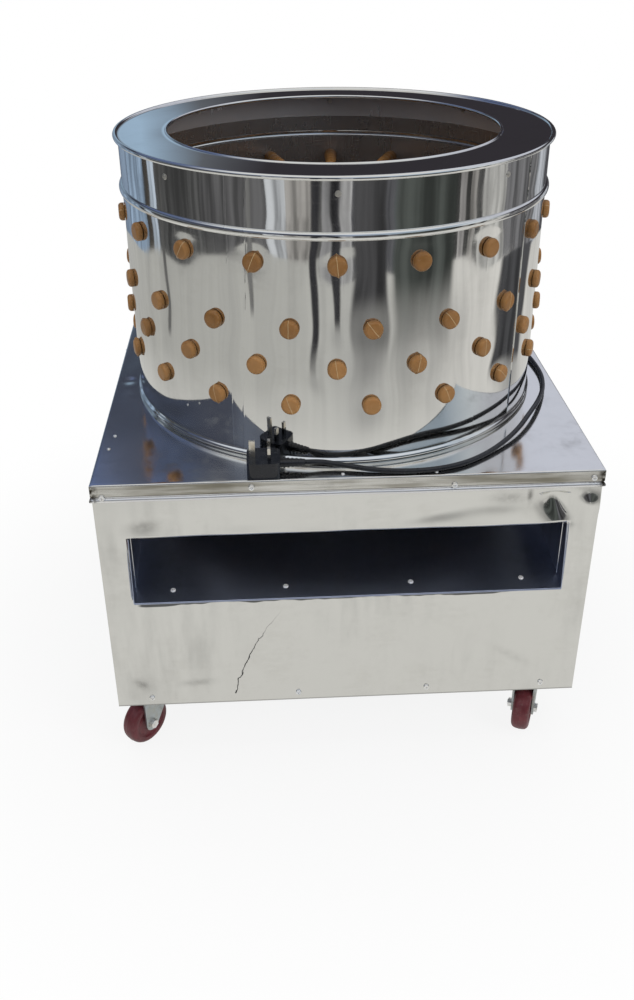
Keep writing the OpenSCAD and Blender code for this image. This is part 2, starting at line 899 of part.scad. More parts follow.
module drive_plate() color(iron) {
    reach = rail_x + rail_w / 2;
    difference() {
        box([-reach, -90, plate_z], [reach, motor_dist + motor_flange_r + 2, plate_top]);
        translate([0, 0, plate_z - 1])
            cylinder(r = shaft_r + 5, h = plate_t + 2);
        translate([0, motor_dist, plate_z - 1])
            cylinder(r = 34, h = plate_t + 2);
        pedestal_bolt_places()
            translate([0, 0, plate_z - 1])
                cylinder(d = 12 + 2 * neck_gap, h = plate_t + 2);
        plate_bolt_places()
            translate([0, 0, plate_z - 1])
                cylinder(d = 10 + 2 * neck_gap, h = plate_t + 2);
        motor_bolt_places() {
            box([-5.3, -10, plate_z - 1], [5.3, 10, plate_top + 1]);
            for (sy = [-10, 10])
                translate([0, sy, plate_z - 1])
                    cylinder(r = 5.3, h = plate_t + 2);
        }
    }
}

module bearing_pedestal() color(iron) {
    seat_r = bearing_od / 2;
    difference() {
        union() {
            translate([0, 0, plate_top])
                cylinder(r = pedestal_flange_r, h = pedestal_flange_t);
            translate([0, 0, plate_top])
                cylinder(r = pedestal_r, h = pedestal_top - plate_top);
        }
        translate([0, 0, plate_top - 1])
            cylinder(r = seat_r - 4, h = pedestal_top - plate_top + 2);
        translate([0, 0, plate_top - 1])
            cylinder(r = seat_r, h = bearing_w + 1);
        translate([0, 0, pedestal_top - bearing_w])
            cylinder(r = seat_r, h = bearing_w + 1);
        pedestal_bolt_places()
            translate([0, 0, plate_top - 1])
                cylinder(d = 12 + 2 * neck_gap, h = pedestal_flange_t + 2);
    }
}

module bearing_places() {
    for (z = [plate_top, pedestal_top - bearing_w])
        translate([0, 0, z])
            children();
}

module bearing_groove() {
    translate([ball_ring_r, bearing_w / 2])
        circle(d = ball_d + 2 * ball_gap);
}

module bearing_outer_rings() color(steel) {
    bearing_places()
        rotate_extrude()
            difference() {
                section(ball_ring_r + race_half_gap, bearing_od / 2 - run_gap, 0, bearing_w);
                bearing_groove();
            }
}

module bearing_inner_rings() color(steel) {
    bearing_places()
        rotate_extrude()
            difference() {
                section(shaft_r + run_gap, ball_ring_r - race_half_gap, clear, bearing_w - clear);
                bearing_groove();
            }
}

module bearing_balls() color(zinc) {
    bearing_places()
        for (k = [0 : ball_count - 1])
            rotate([0, 0, k * 360 / ball_count])
                translate([ball_ring_r, 0, bearing_w / 2])
                    sphere(d = ball_d);
}

module drive_bolts() color(zinc) {
    pedestal_bolt_places()
        translate([0, 0, plate_top + pedestal_flange_t])
            hex_bolt(12, pedestal_flange_t + plate_t);
    plate_bolt_places()
        translate([0, 0, plate_top])
            hex_bolt(10, plate_t + rail_t + 6);
    motor_bolt_places() {
        translate([0, 0, motor_low])
            hex_bolt(10, motor_flange_t + plate_t + 9);
        translate([0, 0, plate_z - 8])
            cylinder(r = 9, h = 8, $fn = 6);
    }
}

// Section of the belt at radius r of its outer face, about z = 0
module belt_section(r) {
    polygon([[r, -belt_top_w / 2], [r, belt_top_w / 2], [r - belt_t, belt_low_w / 2],
        [r - belt_t, -belt_low_w / 2]]);
}

module drive_belt() color(black) {
    translate([0, 0, belt_z]) {
        rotate([0, 0, 90 + belt_wrap])
            rotate_extrude(angle = 360 - 2 * belt_wrap)
                belt_section(belt_big_r);
        translate([0, motor_dist, 0])
            rotate([0, 0, 90 - belt_wrap])
                rotate_extrude(angle = 2 * belt_wrap)
                    belt_section(belt_small_r);
        for (s = [0, 1])
            mirror([s, 0, 0])
                rotate([0, 0, 90 + belt_wrap])
                    rotate([90, 0, 0])
                        linear_extrude(belt_run)
                            belt_section(belt_big_r);
    }
}

// Turned pulley about z = 0 with one belt groove
module pulley(d, hub_r, bore_r, web) {
    r = d / 2;
    in_r = r - belt_sink - belt_t - clear;
    grow = clear / cos(belt_flank);
    top_w = belt_top_w / 2 + grow + (belt_sink + 1) * tan(belt_flank);
    low_w = belt_low_w / 2 + grow - clear * tan(belt_flank);
    rim_in = max(bore_r, r - pulley_rim_t);
    rotate_extrude()
        difference() {
            union() {
                section(rim_in, r, -pulley_w / 2, pulley_w / 2);
                section(bore_r, rim_in + 1, -web / 2, web / 2);
                section(bore_r, hub_r, -pulley_hub_h / 2, pulley_hub_h / 2);
            }
            polygon([[r + 1, -top_w], [r + 1, top_w], [in_r, low_w], [in_r, -low_w]]);
        }
}

module driven_pulley() color(iron) {
    difference() {
        translate([0, 0, belt_z])
            pulley(pulley_d, pulley_hub_r, shaft_r + run_gap, pulley_web_t);
        for (k = [0 : 4])
            rotate([0, 0, k * 72])
                translate([pulley_d / 2 - 64, 0, belt_z - pulley_w])
                    cylinder(r = 24, h = 2 * pulley_w);
    }
}

module motor_pulley() color(iron) {
    translate([0, motor_dist, belt_z])
        pulley(motor_pulley_d, motor_shaft_r + 4, motor_shaft_r + run_gap, pulley_w);
}

module at_motor() {
    translate([0, motor_dist, 0])
        children();
}

module motor_housing() color(grey) {
    at_motor()
        difference() {
            union() {
                translate([0, 0, motor_low])
                    cylinder(r = motor_r, h = motor_h);
                for (sx = [0, 180])
                    for (a = [45 : 15 : 135])
                        rotate([0, 0, a + sx])
                            box([motor_r - 2, -1.5, motor_low + 8], [motor_r + 8, 1.5, motor_top - 8]);
                box([-pad_x, -pad_half_w, pad_z - pad_half_h], [0, pad_half_w, pad_z + pad_half_h]);
                box([0, -pad_half_w, pad_z - pad_half_h], [pad_x, pad_half_w, pad_z + pad_half_h]);
            }
            translate([0, 0, motor_low - 1])
                cylinder(r = motor_r - motor_wall, h = motor_h + 2);
        }
}

module motor_stator() color(iron) {
    at_motor()
        translate([0, 0, pad_z - core_h / 2])
            tube(motor_r - motor_wall - fit_gap, core_r + 1, core_h);
}

module motor_end_shields() color(grey) {
    bore = motor_shaft_r + run_gap;
    at_motor() {
        difference() {
            union() {
                translate([0, 0, plate_top])
                    cylinder(r = motor_flange_r, h = motor_flange_t);
                translate([0, 0, motor_low])
                    cylinder(r = 30, h = 8);
            }
            translate([0, 0, plate_top - 1])
                cylinder(r = bore, h = 40);
            translate([0, -motor_dist, 0])
                motor_bolt_places()
                    translate([0, 0, plate_top - 1])
                        cylinder(d = 10 + 2 * neck_gap, h = motor_flange_t + 2);
        }
        translate([0, 0, motor_top])
            tube(motor_r, bore, shield_t);
    }
}

module motor_fan_cover() color(grey) {
    r = motor_r + run_gap;
    low = motor_top + 2;
    at_motor()
        difference() {
            translate([0, 0, low])
                cylinder(r = r + cover_t, h = cover_h);
            translate([0, 0, low - 1])
                cylinder(r = r, h = cover_h - cover_t + 1);
            for (k = [0 : 11])
                rotate([0, 0, k * 30])
                    translate([motor_r - 22, 0, low + cover_h - 5])
                        cylinder(r = 6, h = 10);
            for (k = [0 : 5])
                rotate([0, 0, k * 60])
                    translate([motor_r - 44, 0, low + cover_h - 5])
                        cylinder(r = 6, h = 10);
        }
}

module motor_terminal_box() color(black) {
    box_face = -pad_x - terminal_d;
    w = terminal_w / 2;
    h = terminal_h / 2;
    lid_w = w + terminal_lid_over;
    lid_h = h + terminal_lid_over;
    at_motor() {
        box([box_face, -w, pad_z - h], [-pad_x, w, pad_z + h]);
        box([box_face - terminal_lid_t, -lid_w, pad_z - lid_h], [box_face, lid_w, pad_z + lid_h]);
        translate([terminal_x, 0, pad_z])
            rotate([0, 90, 0])
                cylinder(r = terminal_gland_r, h = terminal_gland_l + 1);
    }
}

module motor_capacitor() color(black) {
    at_motor() {
        translate([pad_x + capacitor_r + 2, 0, pad_z - capacitor_h / 2])
            cylinder(r = capacitor_r, h = capacitor_h);
        box([pad_x, -saddle_w / 2, pad_z - saddle_h / 2],
            [pad_x + saddle_d, saddle_w / 2, pad_z + saddle_h / 2]);
    }
}

module motor_shaft() color(zinc) {
    low = belt_z - pulley_hub_h / 2 - 3;
    at_motor() {
        translate([0, 0, low])
            cylinder(r = motor_shaft_r, h = fan_z + fan_hub_h - low);
        translate([0, 0, pad_z - core_h / 2 + 5])
            cylinder(r = core_r, h = core_h - 10);
    }
}

module motor_fan() color(black) {
    at_motor()
        difference() {
            union() {
                translate([0, 0, fan_z])
                    cylinder(r = fan_r, h = 2.5);
                translate([0, 0, fan_z])
                    cylinder(r = motor_shaft_r + 6, h = fan_hub_h);
                for (k = [0 : 7])
                    rotate([0, 0, k * 45])
                        box([motor_shaft_r + 4, -1.25, fan_z], [fan_r - 1, 1.25, fan_z + fan_blade_h]);
            }
            translate([0, 0, fan_z - 1])
                cylinder(r = motor_shaft_r + run_gap, h = 30);
        }
}

module motor_cable() color(black) {
    tube_along(smooth_route(cable_route, 2), cable_d / 2, 10, [0.45, 0.9, 0]);
}

// Caster i put in its place with its trail turned by its yaw
module at_caster(i) {
    translate([caster_at[i][0], caster_at[i][1], 0])
        rotate([0, 0, caster_yaw[i]])
            children();
}

module caster_plates() color(zinc) {
    low = caster_h - caster_plate_t;
    for (i = [0 : 3])
        difference() {
            translate([caster_at[i][0], caster_at[i][1], 0]) {
                translate([-caster_plate_l / 2, -caster_plate_w / 2, low])
                    cube([caster_plate_l, caster_plate_w, caster_plate_t]);
                translate([0, 0, fork_top + clear])
                    cylinder(r1 = 17, r2 = 23, h = race_h - clear);
                translate([0, 0, fork_top - crown_t - 5])
                    cylinder(r = kingpin_r, h = race_h + crown_t + 5);
                translate([0, 0, fork_top - crown_t - clear - 4])
                    cylinder(r = kingpin_r + 4, h = 4);
            }
            caster_bolt_places(i)
                translate([0, 0, low - 1])
                    cylinder(d = 8 + 2 * neck_gap, h = caster_plate_t + 2);
        }
}

module caster_bolts() color(zinc) {
    for (i = [0 : 3])
        caster_bolt_places(i) {
            translate([0, 0, caster_h - caster_plate_t])
                rotate([180, 0, 0])
                    hex_bolt(8, caster_plate_t + angle_t + 7);
            translate([0, 0, cab_z + angle_t])
                cylinder(r = 7.2, h = 5, $fn = 6);
        }
}

// Side plate of a fork, drawn in Y and Z, with a boss round the axle
module fork_leg() {
    difference() {
        hull() {
            translate([-leg_front, fork_top - crown_t])
                square([leg_front + leg_rear, crown_t]);
            translate([-trail, axle_z])
                circle(r = leg_boss_r);
        }
        translate([-trail, axle_z])
            circle(r = axle_r + run_gap);
    }
}

module caster_fork(i) color(zinc) {
    at_caster(i)
        difference() {
            union() {
                translate([0, 0, fork_top - crown_t])
                    linear_extrude(crown_t)
                        hull() {
                            circle(r = crown_r);
                            translate([-leg_x - leg_t, -leg_front])
                                square([2 * (leg_x + leg_t), leg_front + leg_rear]);
                        }
                for (x = [-leg_x - leg_t, leg_x])
                    translate([x, 0, 0])
                        rotate([90, 0, 90])
                            linear_extrude(leg_t)
                                fork_leg();
            }
            translate([0, 0, fork_top - crown_t - 1])
                cylinder(r = kingpin_r + run_gap, h = crown_t + 2);
        }
}

module caster_axle(i) color(zinc) {
    grip = 2 * (leg_x + leg_t);
    at_caster(i)
        translate([leg_x + leg_t, -trail, axle_z])
            rotate([0, 90, 0]) {
                hex_bolt(2 * axle_r, grip + 7);
                translate([0, 0, -grip - 6])
                    cylinder(r = 7.2, h = 6, $fn = 6);
            }
}

module caster_wheel(i) color(maroon) {
    r = wheel_d / 2;
    w = wheel_w / 2;
    e = tread_round;
    at_caster(i)
        translate([0, -trail, axle_z])
            rotate([0, 90, 0])
                rotate_extrude()
                    difference() {
                        union() {
                            section(axle_r + run_gap, 11, -w - leg_gap + clear, w + leg_gap - clear);
                            section(axle_r + run_gap, r - e, -w, w);
                            section(axle_r + run_gap, r, -w + e, w - e);
                            translate([r - e, w - e])
                                circle(r = e);
                            translate([r - e, -w + e])
                                circle(r = e);
                        }
                        section(13, r - 11, w - 4, w + 1);
                        section(13, r - 11, -w - 1, -w + 4);
                    }
}

module at_gland() {
    translate([gland_x, gland_y, gland_z])
        rotate([0, 90, 0])
            children();
}

module switch_box() color(grey) {
    difference() {
        box([box_x, box_y, deck_z], [box_x + box_l, box_y + box_w, deck_z + box_h]);
        box([box_x - 1, box_y + box_wall, deck_z + box_wall],
            [box_x + box_l - box_wall, box_y + box_w - box_wall, deck_z + box_h - box_wall]);
        translate([cable_x, cable_y, deck_z - 1])
            cylinder(r = cable_d / 2 + 1, h = box_wall + 2);
        at_gland()
            translate([0, 0, -box_wall - 1])
                cylinder(r = 8 + neck_gap, h = box_wall + 2);
    }
}

module switch_cover() color(black) {
    difference() {
        box([box_x - box_cover_t, box_y, deck_z + clear], [box_x, box_y + box_w, deck_z + box_h]);
        for (z = [start_z, stop_z])
            translate([box_x - box_cover_t - 1, button_y, z])
                rotate([0, 90, 0])
                    cylinder(r = button_r + clear, h = box_cover_t + 2);
    }
}

// Push button along X, its cap outside the cover and its collar inside
module button(z) {
    out_x = box_x - box_cover_t - button_out;
    translate([out_x, button_y, z])
        rotate([0, 90, 0]) {
            cylinder(r = button_r, h = button_end - out_x);
            translate([0, 0, button_out + box_cover_t + clear])
                cylinder(r = button_r + 2.5, h = 3);
        }
}

module start_button() color([0.10, 0.45, 0.18]) {
    button(start_z);
}

module stop_button() color([0.65, 0.08, 0.08]) {
    button(stop_z);
}

module contact_block() color(black) {
    front = button_end + button_stroke + clear;
    box([front, box_y + 14, deck_z + 24], [box_x + box_l - box_wall, box_y + box_w - 14, deck_z + 88]);
}

module lead_gland() color(black) {
    at_gland() {
        translate([0, 0, -box_wall - 6])
            cylinder(r = 8, h = box_wall + 7);
        cylinder(r = 12, h = gland_nut_t, $fn = 6);
        translate([0, 0, gland_nut_t])
            cylinder(r1 = 9, r2 = lead_d / 2 + 1.2, h = boot_l);
    }
}

module power_lead() color(black) {
    lifted = [for (p = lead_route) [p[0], p[1], deck_z + p[2]]];
    tube_along(smooth_route(lifted, 2), lead_d / 2, 10, [0, 0, 1]);
}

// Rounded block of the plug, its length along X
module plug_block(l, w, h) {
    r = plug_round;
    linear_extrude(h)
        union() {
            translate([r, -w / 2])
                square([l - 2 * r, w]);
            translate([0, -w / 2 + r])
                square([l, w - 2 * r]);
            for (x = [r, l - r])
                for (y = [-w / 2 + r, w / 2 - r])
                    translate([x, y])
                        circle(r = r);
        }
}

module plug_body() color(black) {
    translate([plug_x, plug_y, deck_z]) {
        plug_block(plug_l, plug_w, plug_t);
        translate([plug_l - 1, 0, relief_z])
            rotate([0, 90, 0]) {
                cylinder(r1 = 6.5, r2 = lead_d / 2 + 0.9, h = relief_l + 1);
                for (k = [0 : 4])
                    translate([0, 0, 5 + 5.5 * k])
                        cylinder(r = 7.2 - 0.5 * k, h = 2.6);
            }
    }
    for (s = [-1, 1])
        translate([pin_x - 2.2, plug_y + s * pin_pitch / 2 - 3.4, deck_z + plug_t - 1])
            cube([4.4, 6.8, sleeve_h + 1]);
}

module plug_pins() color(brass) {
    for (s = [-1, 1])
        translate([pin_x - 2, plug_y + s * pin_pitch / 2 - 3.2, deck_z + plug_t + sleeve_h])
            cube([4, 6.4, pin_h - sleeve_h]);
    translate([earth_x - 4, plug_y - 2, deck_z + plug_t])
        cube([8, 4, earth_h]);
}

base_frame();
deck_plate();
front_panel();
rear_panel();
left_panel();
right_panel();
panel_screws();
feather_chute();
chute_walls();
rivets();
drum_shell();
top_ring();
wall_fingers_upper();
wall_fingers_lower();
drive_plate();
bearing_pedestal();
bearing_outer_rings();
drive_bolts();
drive_belt();
motor_housing();
motor_stator();
motor_end_shields();
motor_fan_cover();
motor_terminal_box();
motor_capacitor();
motor_cable();
switch_box();
switch_cover();
contact_block();
lead_gland();
caster_plates();
caster_bolts();
power_lead();
plug_body();
plug_pins();
turntable();
turntable_fingers();
turntable_hub();
hub_bolts();
main_shaft();
bearing_inner_rings();
bearing_balls();
driven_pulley();
motor_shaft();
motor_fan();
motor_pulley();
caster_fork(0);  // caster_fork_front_left
caster_fork(1);  // caster_fork_front_right
caster_fork(2);  // caster_fork_rear_left
caster_fork(3);  // caster_fork_rear_right
caster_axle(0);  // caster_axle_front_left
caster_axle(1);  // caster_axle_front_right
caster_axle(2);  // caster_axle_rear_left
caster_axle(3);  // caster_axle_rear_right
caster_wheel(0);  // caster_wheel_front_left
caster_wheel(1);  // caster_wheel_front_right
caster_wheel(2);  // caster_wheel_rear_left
caster_wheel(3);  // caster_wheel_rear_right
start_button();
stop_button();
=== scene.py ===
"""Portrait of a drum poultry plucker: polished sheets, rubber fingers and casters in a pale studio.

Sizes of pieces are in millimetres; meshes, finishes and the studio are in metres. The origin is on the
floor under the drum's axis, +Z is up and the chute's mouth faces -Y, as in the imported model.
"""

from __future__ import annotations

import json
import logging
import math
from dataclasses import dataclass, field
from enum import Enum
from functools import cache

import bpy
import numpy as np
from bpy.types import Material, Node, NodeTree, Object
from bpy.types import NodeSocket as Socket
from mathutils import Matrix

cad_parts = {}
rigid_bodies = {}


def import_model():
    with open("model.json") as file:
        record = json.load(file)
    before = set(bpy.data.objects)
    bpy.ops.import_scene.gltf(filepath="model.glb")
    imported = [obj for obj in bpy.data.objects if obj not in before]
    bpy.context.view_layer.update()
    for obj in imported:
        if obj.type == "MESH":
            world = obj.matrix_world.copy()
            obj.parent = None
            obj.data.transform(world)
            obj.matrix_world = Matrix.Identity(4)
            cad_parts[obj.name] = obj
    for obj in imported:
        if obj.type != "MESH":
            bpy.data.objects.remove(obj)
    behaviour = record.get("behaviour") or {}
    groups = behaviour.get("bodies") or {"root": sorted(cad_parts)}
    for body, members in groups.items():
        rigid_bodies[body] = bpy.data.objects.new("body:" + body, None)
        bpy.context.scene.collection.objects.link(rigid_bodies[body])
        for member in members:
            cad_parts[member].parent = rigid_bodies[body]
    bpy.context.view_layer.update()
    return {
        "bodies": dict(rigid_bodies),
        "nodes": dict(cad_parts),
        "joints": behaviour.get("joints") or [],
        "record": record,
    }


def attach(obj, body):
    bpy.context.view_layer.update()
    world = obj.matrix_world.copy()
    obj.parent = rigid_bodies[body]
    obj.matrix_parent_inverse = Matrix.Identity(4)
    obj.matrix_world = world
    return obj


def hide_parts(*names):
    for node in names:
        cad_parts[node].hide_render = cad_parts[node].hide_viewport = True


LOG = logging.getLogger("plucker")
MM = 0.001
DECK = 480.0
HALF = 340.0
PANEL_FACE = 338.6
CABINET_LOW = 102.0
ALL_SMOOTH = 180.0

Triple = tuple[float, float, float]
Colour = Triple
Layer = tuple[object, float, float]
Steps = tuple[tuple[float, Colour], ...]


class Body(Enum):
    """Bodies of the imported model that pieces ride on."""

    CABINET = "cabinet"
    TURNTABLE = "turntable_body"


class Corner(Enum):
    """The four caster corners, each with its swivel place and its yaw in degrees."""

    FRONT_LEFT = ("front_left", -290.0, -272.0, -41.0)
    FRONT_RIGHT = ("front_right", 290.0, -272.0, -22.0)
    REAR_LEFT = ("rear_left", -290.0, 272.0, 18.0)
    REAR_RIGHT = ("rear_right", 290.0, 272.0, -25.0)

    @property
    def label(self) -> str:
        """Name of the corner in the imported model."""
        return self.value[0]


class Side(Enum):
    """Sides of the cabinet, each with its turn about +Z from the front in degrees."""

    FRONT = ("front_panel", 0.0)
    REAR = ("rear_panel", 180.0)
    LEFT = ("left_panel", -90.0)
    RIGHT = ("right_panel", 90.0)


def turn_z(degrees: float) -> np.ndarray:
    """Matrix for column vectors that turns about +Z by degrees, positive from +X to +Y."""
    a = math.radians(degrees)
    return np.array([[math.cos(a), -math.sin(a), 0.0], [math.sin(a), math.cos(a), 0.0], [0.0, 0.0, 1.0]])


def bump(t: np.ndarray) -> np.ndarray:
    """Smooth hump over t in half widths: half of one plus the cosine of pi t, zero outside -1 to 1."""
    return np.where(np.abs(t) < 1.0, 0.5 + 0.5 * np.cos(np.pi * np.clip(t, -1.0, 1.0)), 0.0)


def arc(centre: tuple[float, float], radius: float, start: float, end: float, count: int) -> np.ndarray:
    """Points of a circular arc from a start to an end angle in degrees, as count x 2 numbers."""
    a = np.radians(np.linspace(start, end, count))
    return np.stack([centre[0] + radius * np.cos(a), centre[1] + radius * np.sin(a)], axis=1)


def link(made: Object) -> Object:
    """Put an object into the scene and hand it back."""
    bpy.context.scene.collection.objects.link(made)
    return made


def turn_object(made: Object, axes: list[np.ndarray], place: Triple) -> None:
    """Turn an object and put it in its place.

    Args:
        made: Camera or lamp.
        axes: Directions of its own x, y and z.
        place: Its place in metres.
    """
    frame = np.eye(4)
    frame[:3, :3] = np.stack(axes, axis=1)
    frame[:3, 3] = place
    made.matrix_world = Matrix(frame.tolist())


def grid_quads(rows: int, columns: int, close_rows: bool, close_columns: bool) -> np.ndarray:
    """Quads of a grid of points numbered row by row.

    Args:
        rows: Number of rows.
        columns: Number of columns.
        close_rows: Whether the last row joins the first.
        close_columns: Whether the last column joins the first.

    Returns:
        An array of quads x 4 point numbers.
    """
    r = np.arange(rows if close_rows else rows - 1)[:, None]
    c = np.arange(columns if close_columns else columns - 1)[None, :]
    r_next = (r + 1) % rows
    c_next = (c + 1) % columns
    corners = [r * columns + c, r * columns + c_next, r_next * columns + c_next, r_next * columns + c]
    return np.stack(corners, axis=-1).reshape(-1, 4)


@dataclass(frozen=True)
class Surface:
    """A mesh as arrays: points in millimetres, quads and triangles."""

    points: np.ndarray
    quads: np.ndarray
    tris: np.ndarray = field(default_factory=lambda: np.zeros((0, 3), int))

    def outward(self) -> Surface:
        """Turn a closed surface so that its faces point outwards, by the sign of its volume.

        Returns:
            The surface, with every face reversed if its volume was negative.
        """
        halves = np.concatenate([self.quads[:, [0, 1, 2]], self.quads[:, [0, 2, 3]], self.tris])
        a, b, c = (self.points[halves[:, k]] for k in range(3))
        if np.einsum("ij,ij->", a, np.cross(b, c)) < 0.0:
            return Surface(self.points, self.quads[:, ::-1], self.tris[:, ::-1])
        return self

    def copies(self, turns: np.ndarray, places: np.ndarray) -> Surface:
        """Repeat the surface at many places.

        Args:
            turns: Rotations, count x 3 x 3.
            places: Shifts in millimetres, count x 3.

        Returns:
            One surface with every copy in it.
        """
        points = np.einsum("kij,nj->kni", turns, self.points) + places[:, None, :]
        step = (np.arange(len(turns)) * len(self.points))[:, None, None]
        quads = (self.quads[None] + step).reshape(-1, 4)
        tris = (self.tris[None] + step).reshape(-1, 3)
        return Surface(points.reshape(-1, 3), quads, tris)

    def moved(self, turn: np.ndarray, place: Triple) -> Surface:
        """The surface turned about the origin and then shifted by place."""
        return self.copies(turn[None], np.array([place], float))

    def repeated(self, places: np.ndarray) -> Surface:
        """The surface once at each of the places, unturned."""
        return self.copies(np.tile(np.eye(3), (len(places), 1, 1)), places)

    def piece(self, name: str, sharp: float = ALL_SMOOTH) -> Object:
        """Make a Blender object with its place in its mesh.

        Args:
            name: Name of the object.
            sharp: Edges that turn by more than this many degrees stay crisp.

        Returns:
            The new object, smooth shaded.
        """
        mesh = bpy.data.meshes.new(name)
        mesh.from_pydata((self.points * MM).tolist(), [], self.quads.tolist() + self.tris.tolist())
        mesh.shade_smooth()
        if sharp < ALL_SMOOTH:
            mesh.set_sharp_from_angle(angle=math.radians(sharp))
        mesh.update()
        return link(bpy.data.objects.new(name, mesh))


def revolve(profile: np.ndarray, segments: int) -> Surface:
    """Carry a closed loop of (radius, height) round +Z, so the surface closes both ways.

    Args:
        profile: Loop of count x 2 points, not repeated at its end.
        segments: Steps round the axis; the first is at -Y and they go towards +X.

    Returns:
        The closed surface.
    """
    a = np.linspace(0.0, 2.0 * np.pi, segments, endpoint=False)
    r, z = profile[:, :1], profile[:, 1:]
    points = np.stack([r * np.sin(a), -r * np.cos(a), z + 0.0 * a], axis=-1)
    return Surface(points.reshape(-1, 3), grid_quads(len(profile), segments, True, True)).outward()


def lathe(profile: np.ndarray, segments: int) -> Surface:
    """Carry an open line of (radius, height) round +Z and close both of its ends with poles.

    Args:
        profile: Line of count x 2 points whose first and last points lie on the axis.
        segments: Steps round the axis.

    Returns:
        The closed surface, its first pole before the last point.
    """
    a = np.linspace(0.0, 2.0 * np.pi, segments, endpoint=False)
    rings = profile[1:-1]
    r, z = rings[:, :1], rings[:, 1:]
    wall = np.stack([r * np.cos(a), r * np.sin(a), z + 0.0 * a], axis=-1).reshape(-1, 3)
    poles = np.array([[0.0, 0.0, profile[0, 1]], [0.0, 0.0, profile[-1, 1]]])
    k = np.arange(segments)
    k_next = (k + 1) % segments
    last = (len(rings) - 1) * segments
    first_pole = np.full(segments, len(wall))
    start = np.stack([first_pole, k_next, k], axis=1)
    end = np.stack([first_pole + 1, last + k, last + k_next], axis=1)
    quads = grid_quads(len(rings), segments, False, True)
    return Surface(np.concatenate([wall, poles]), quads, np.concatenate([start, end])).outward()


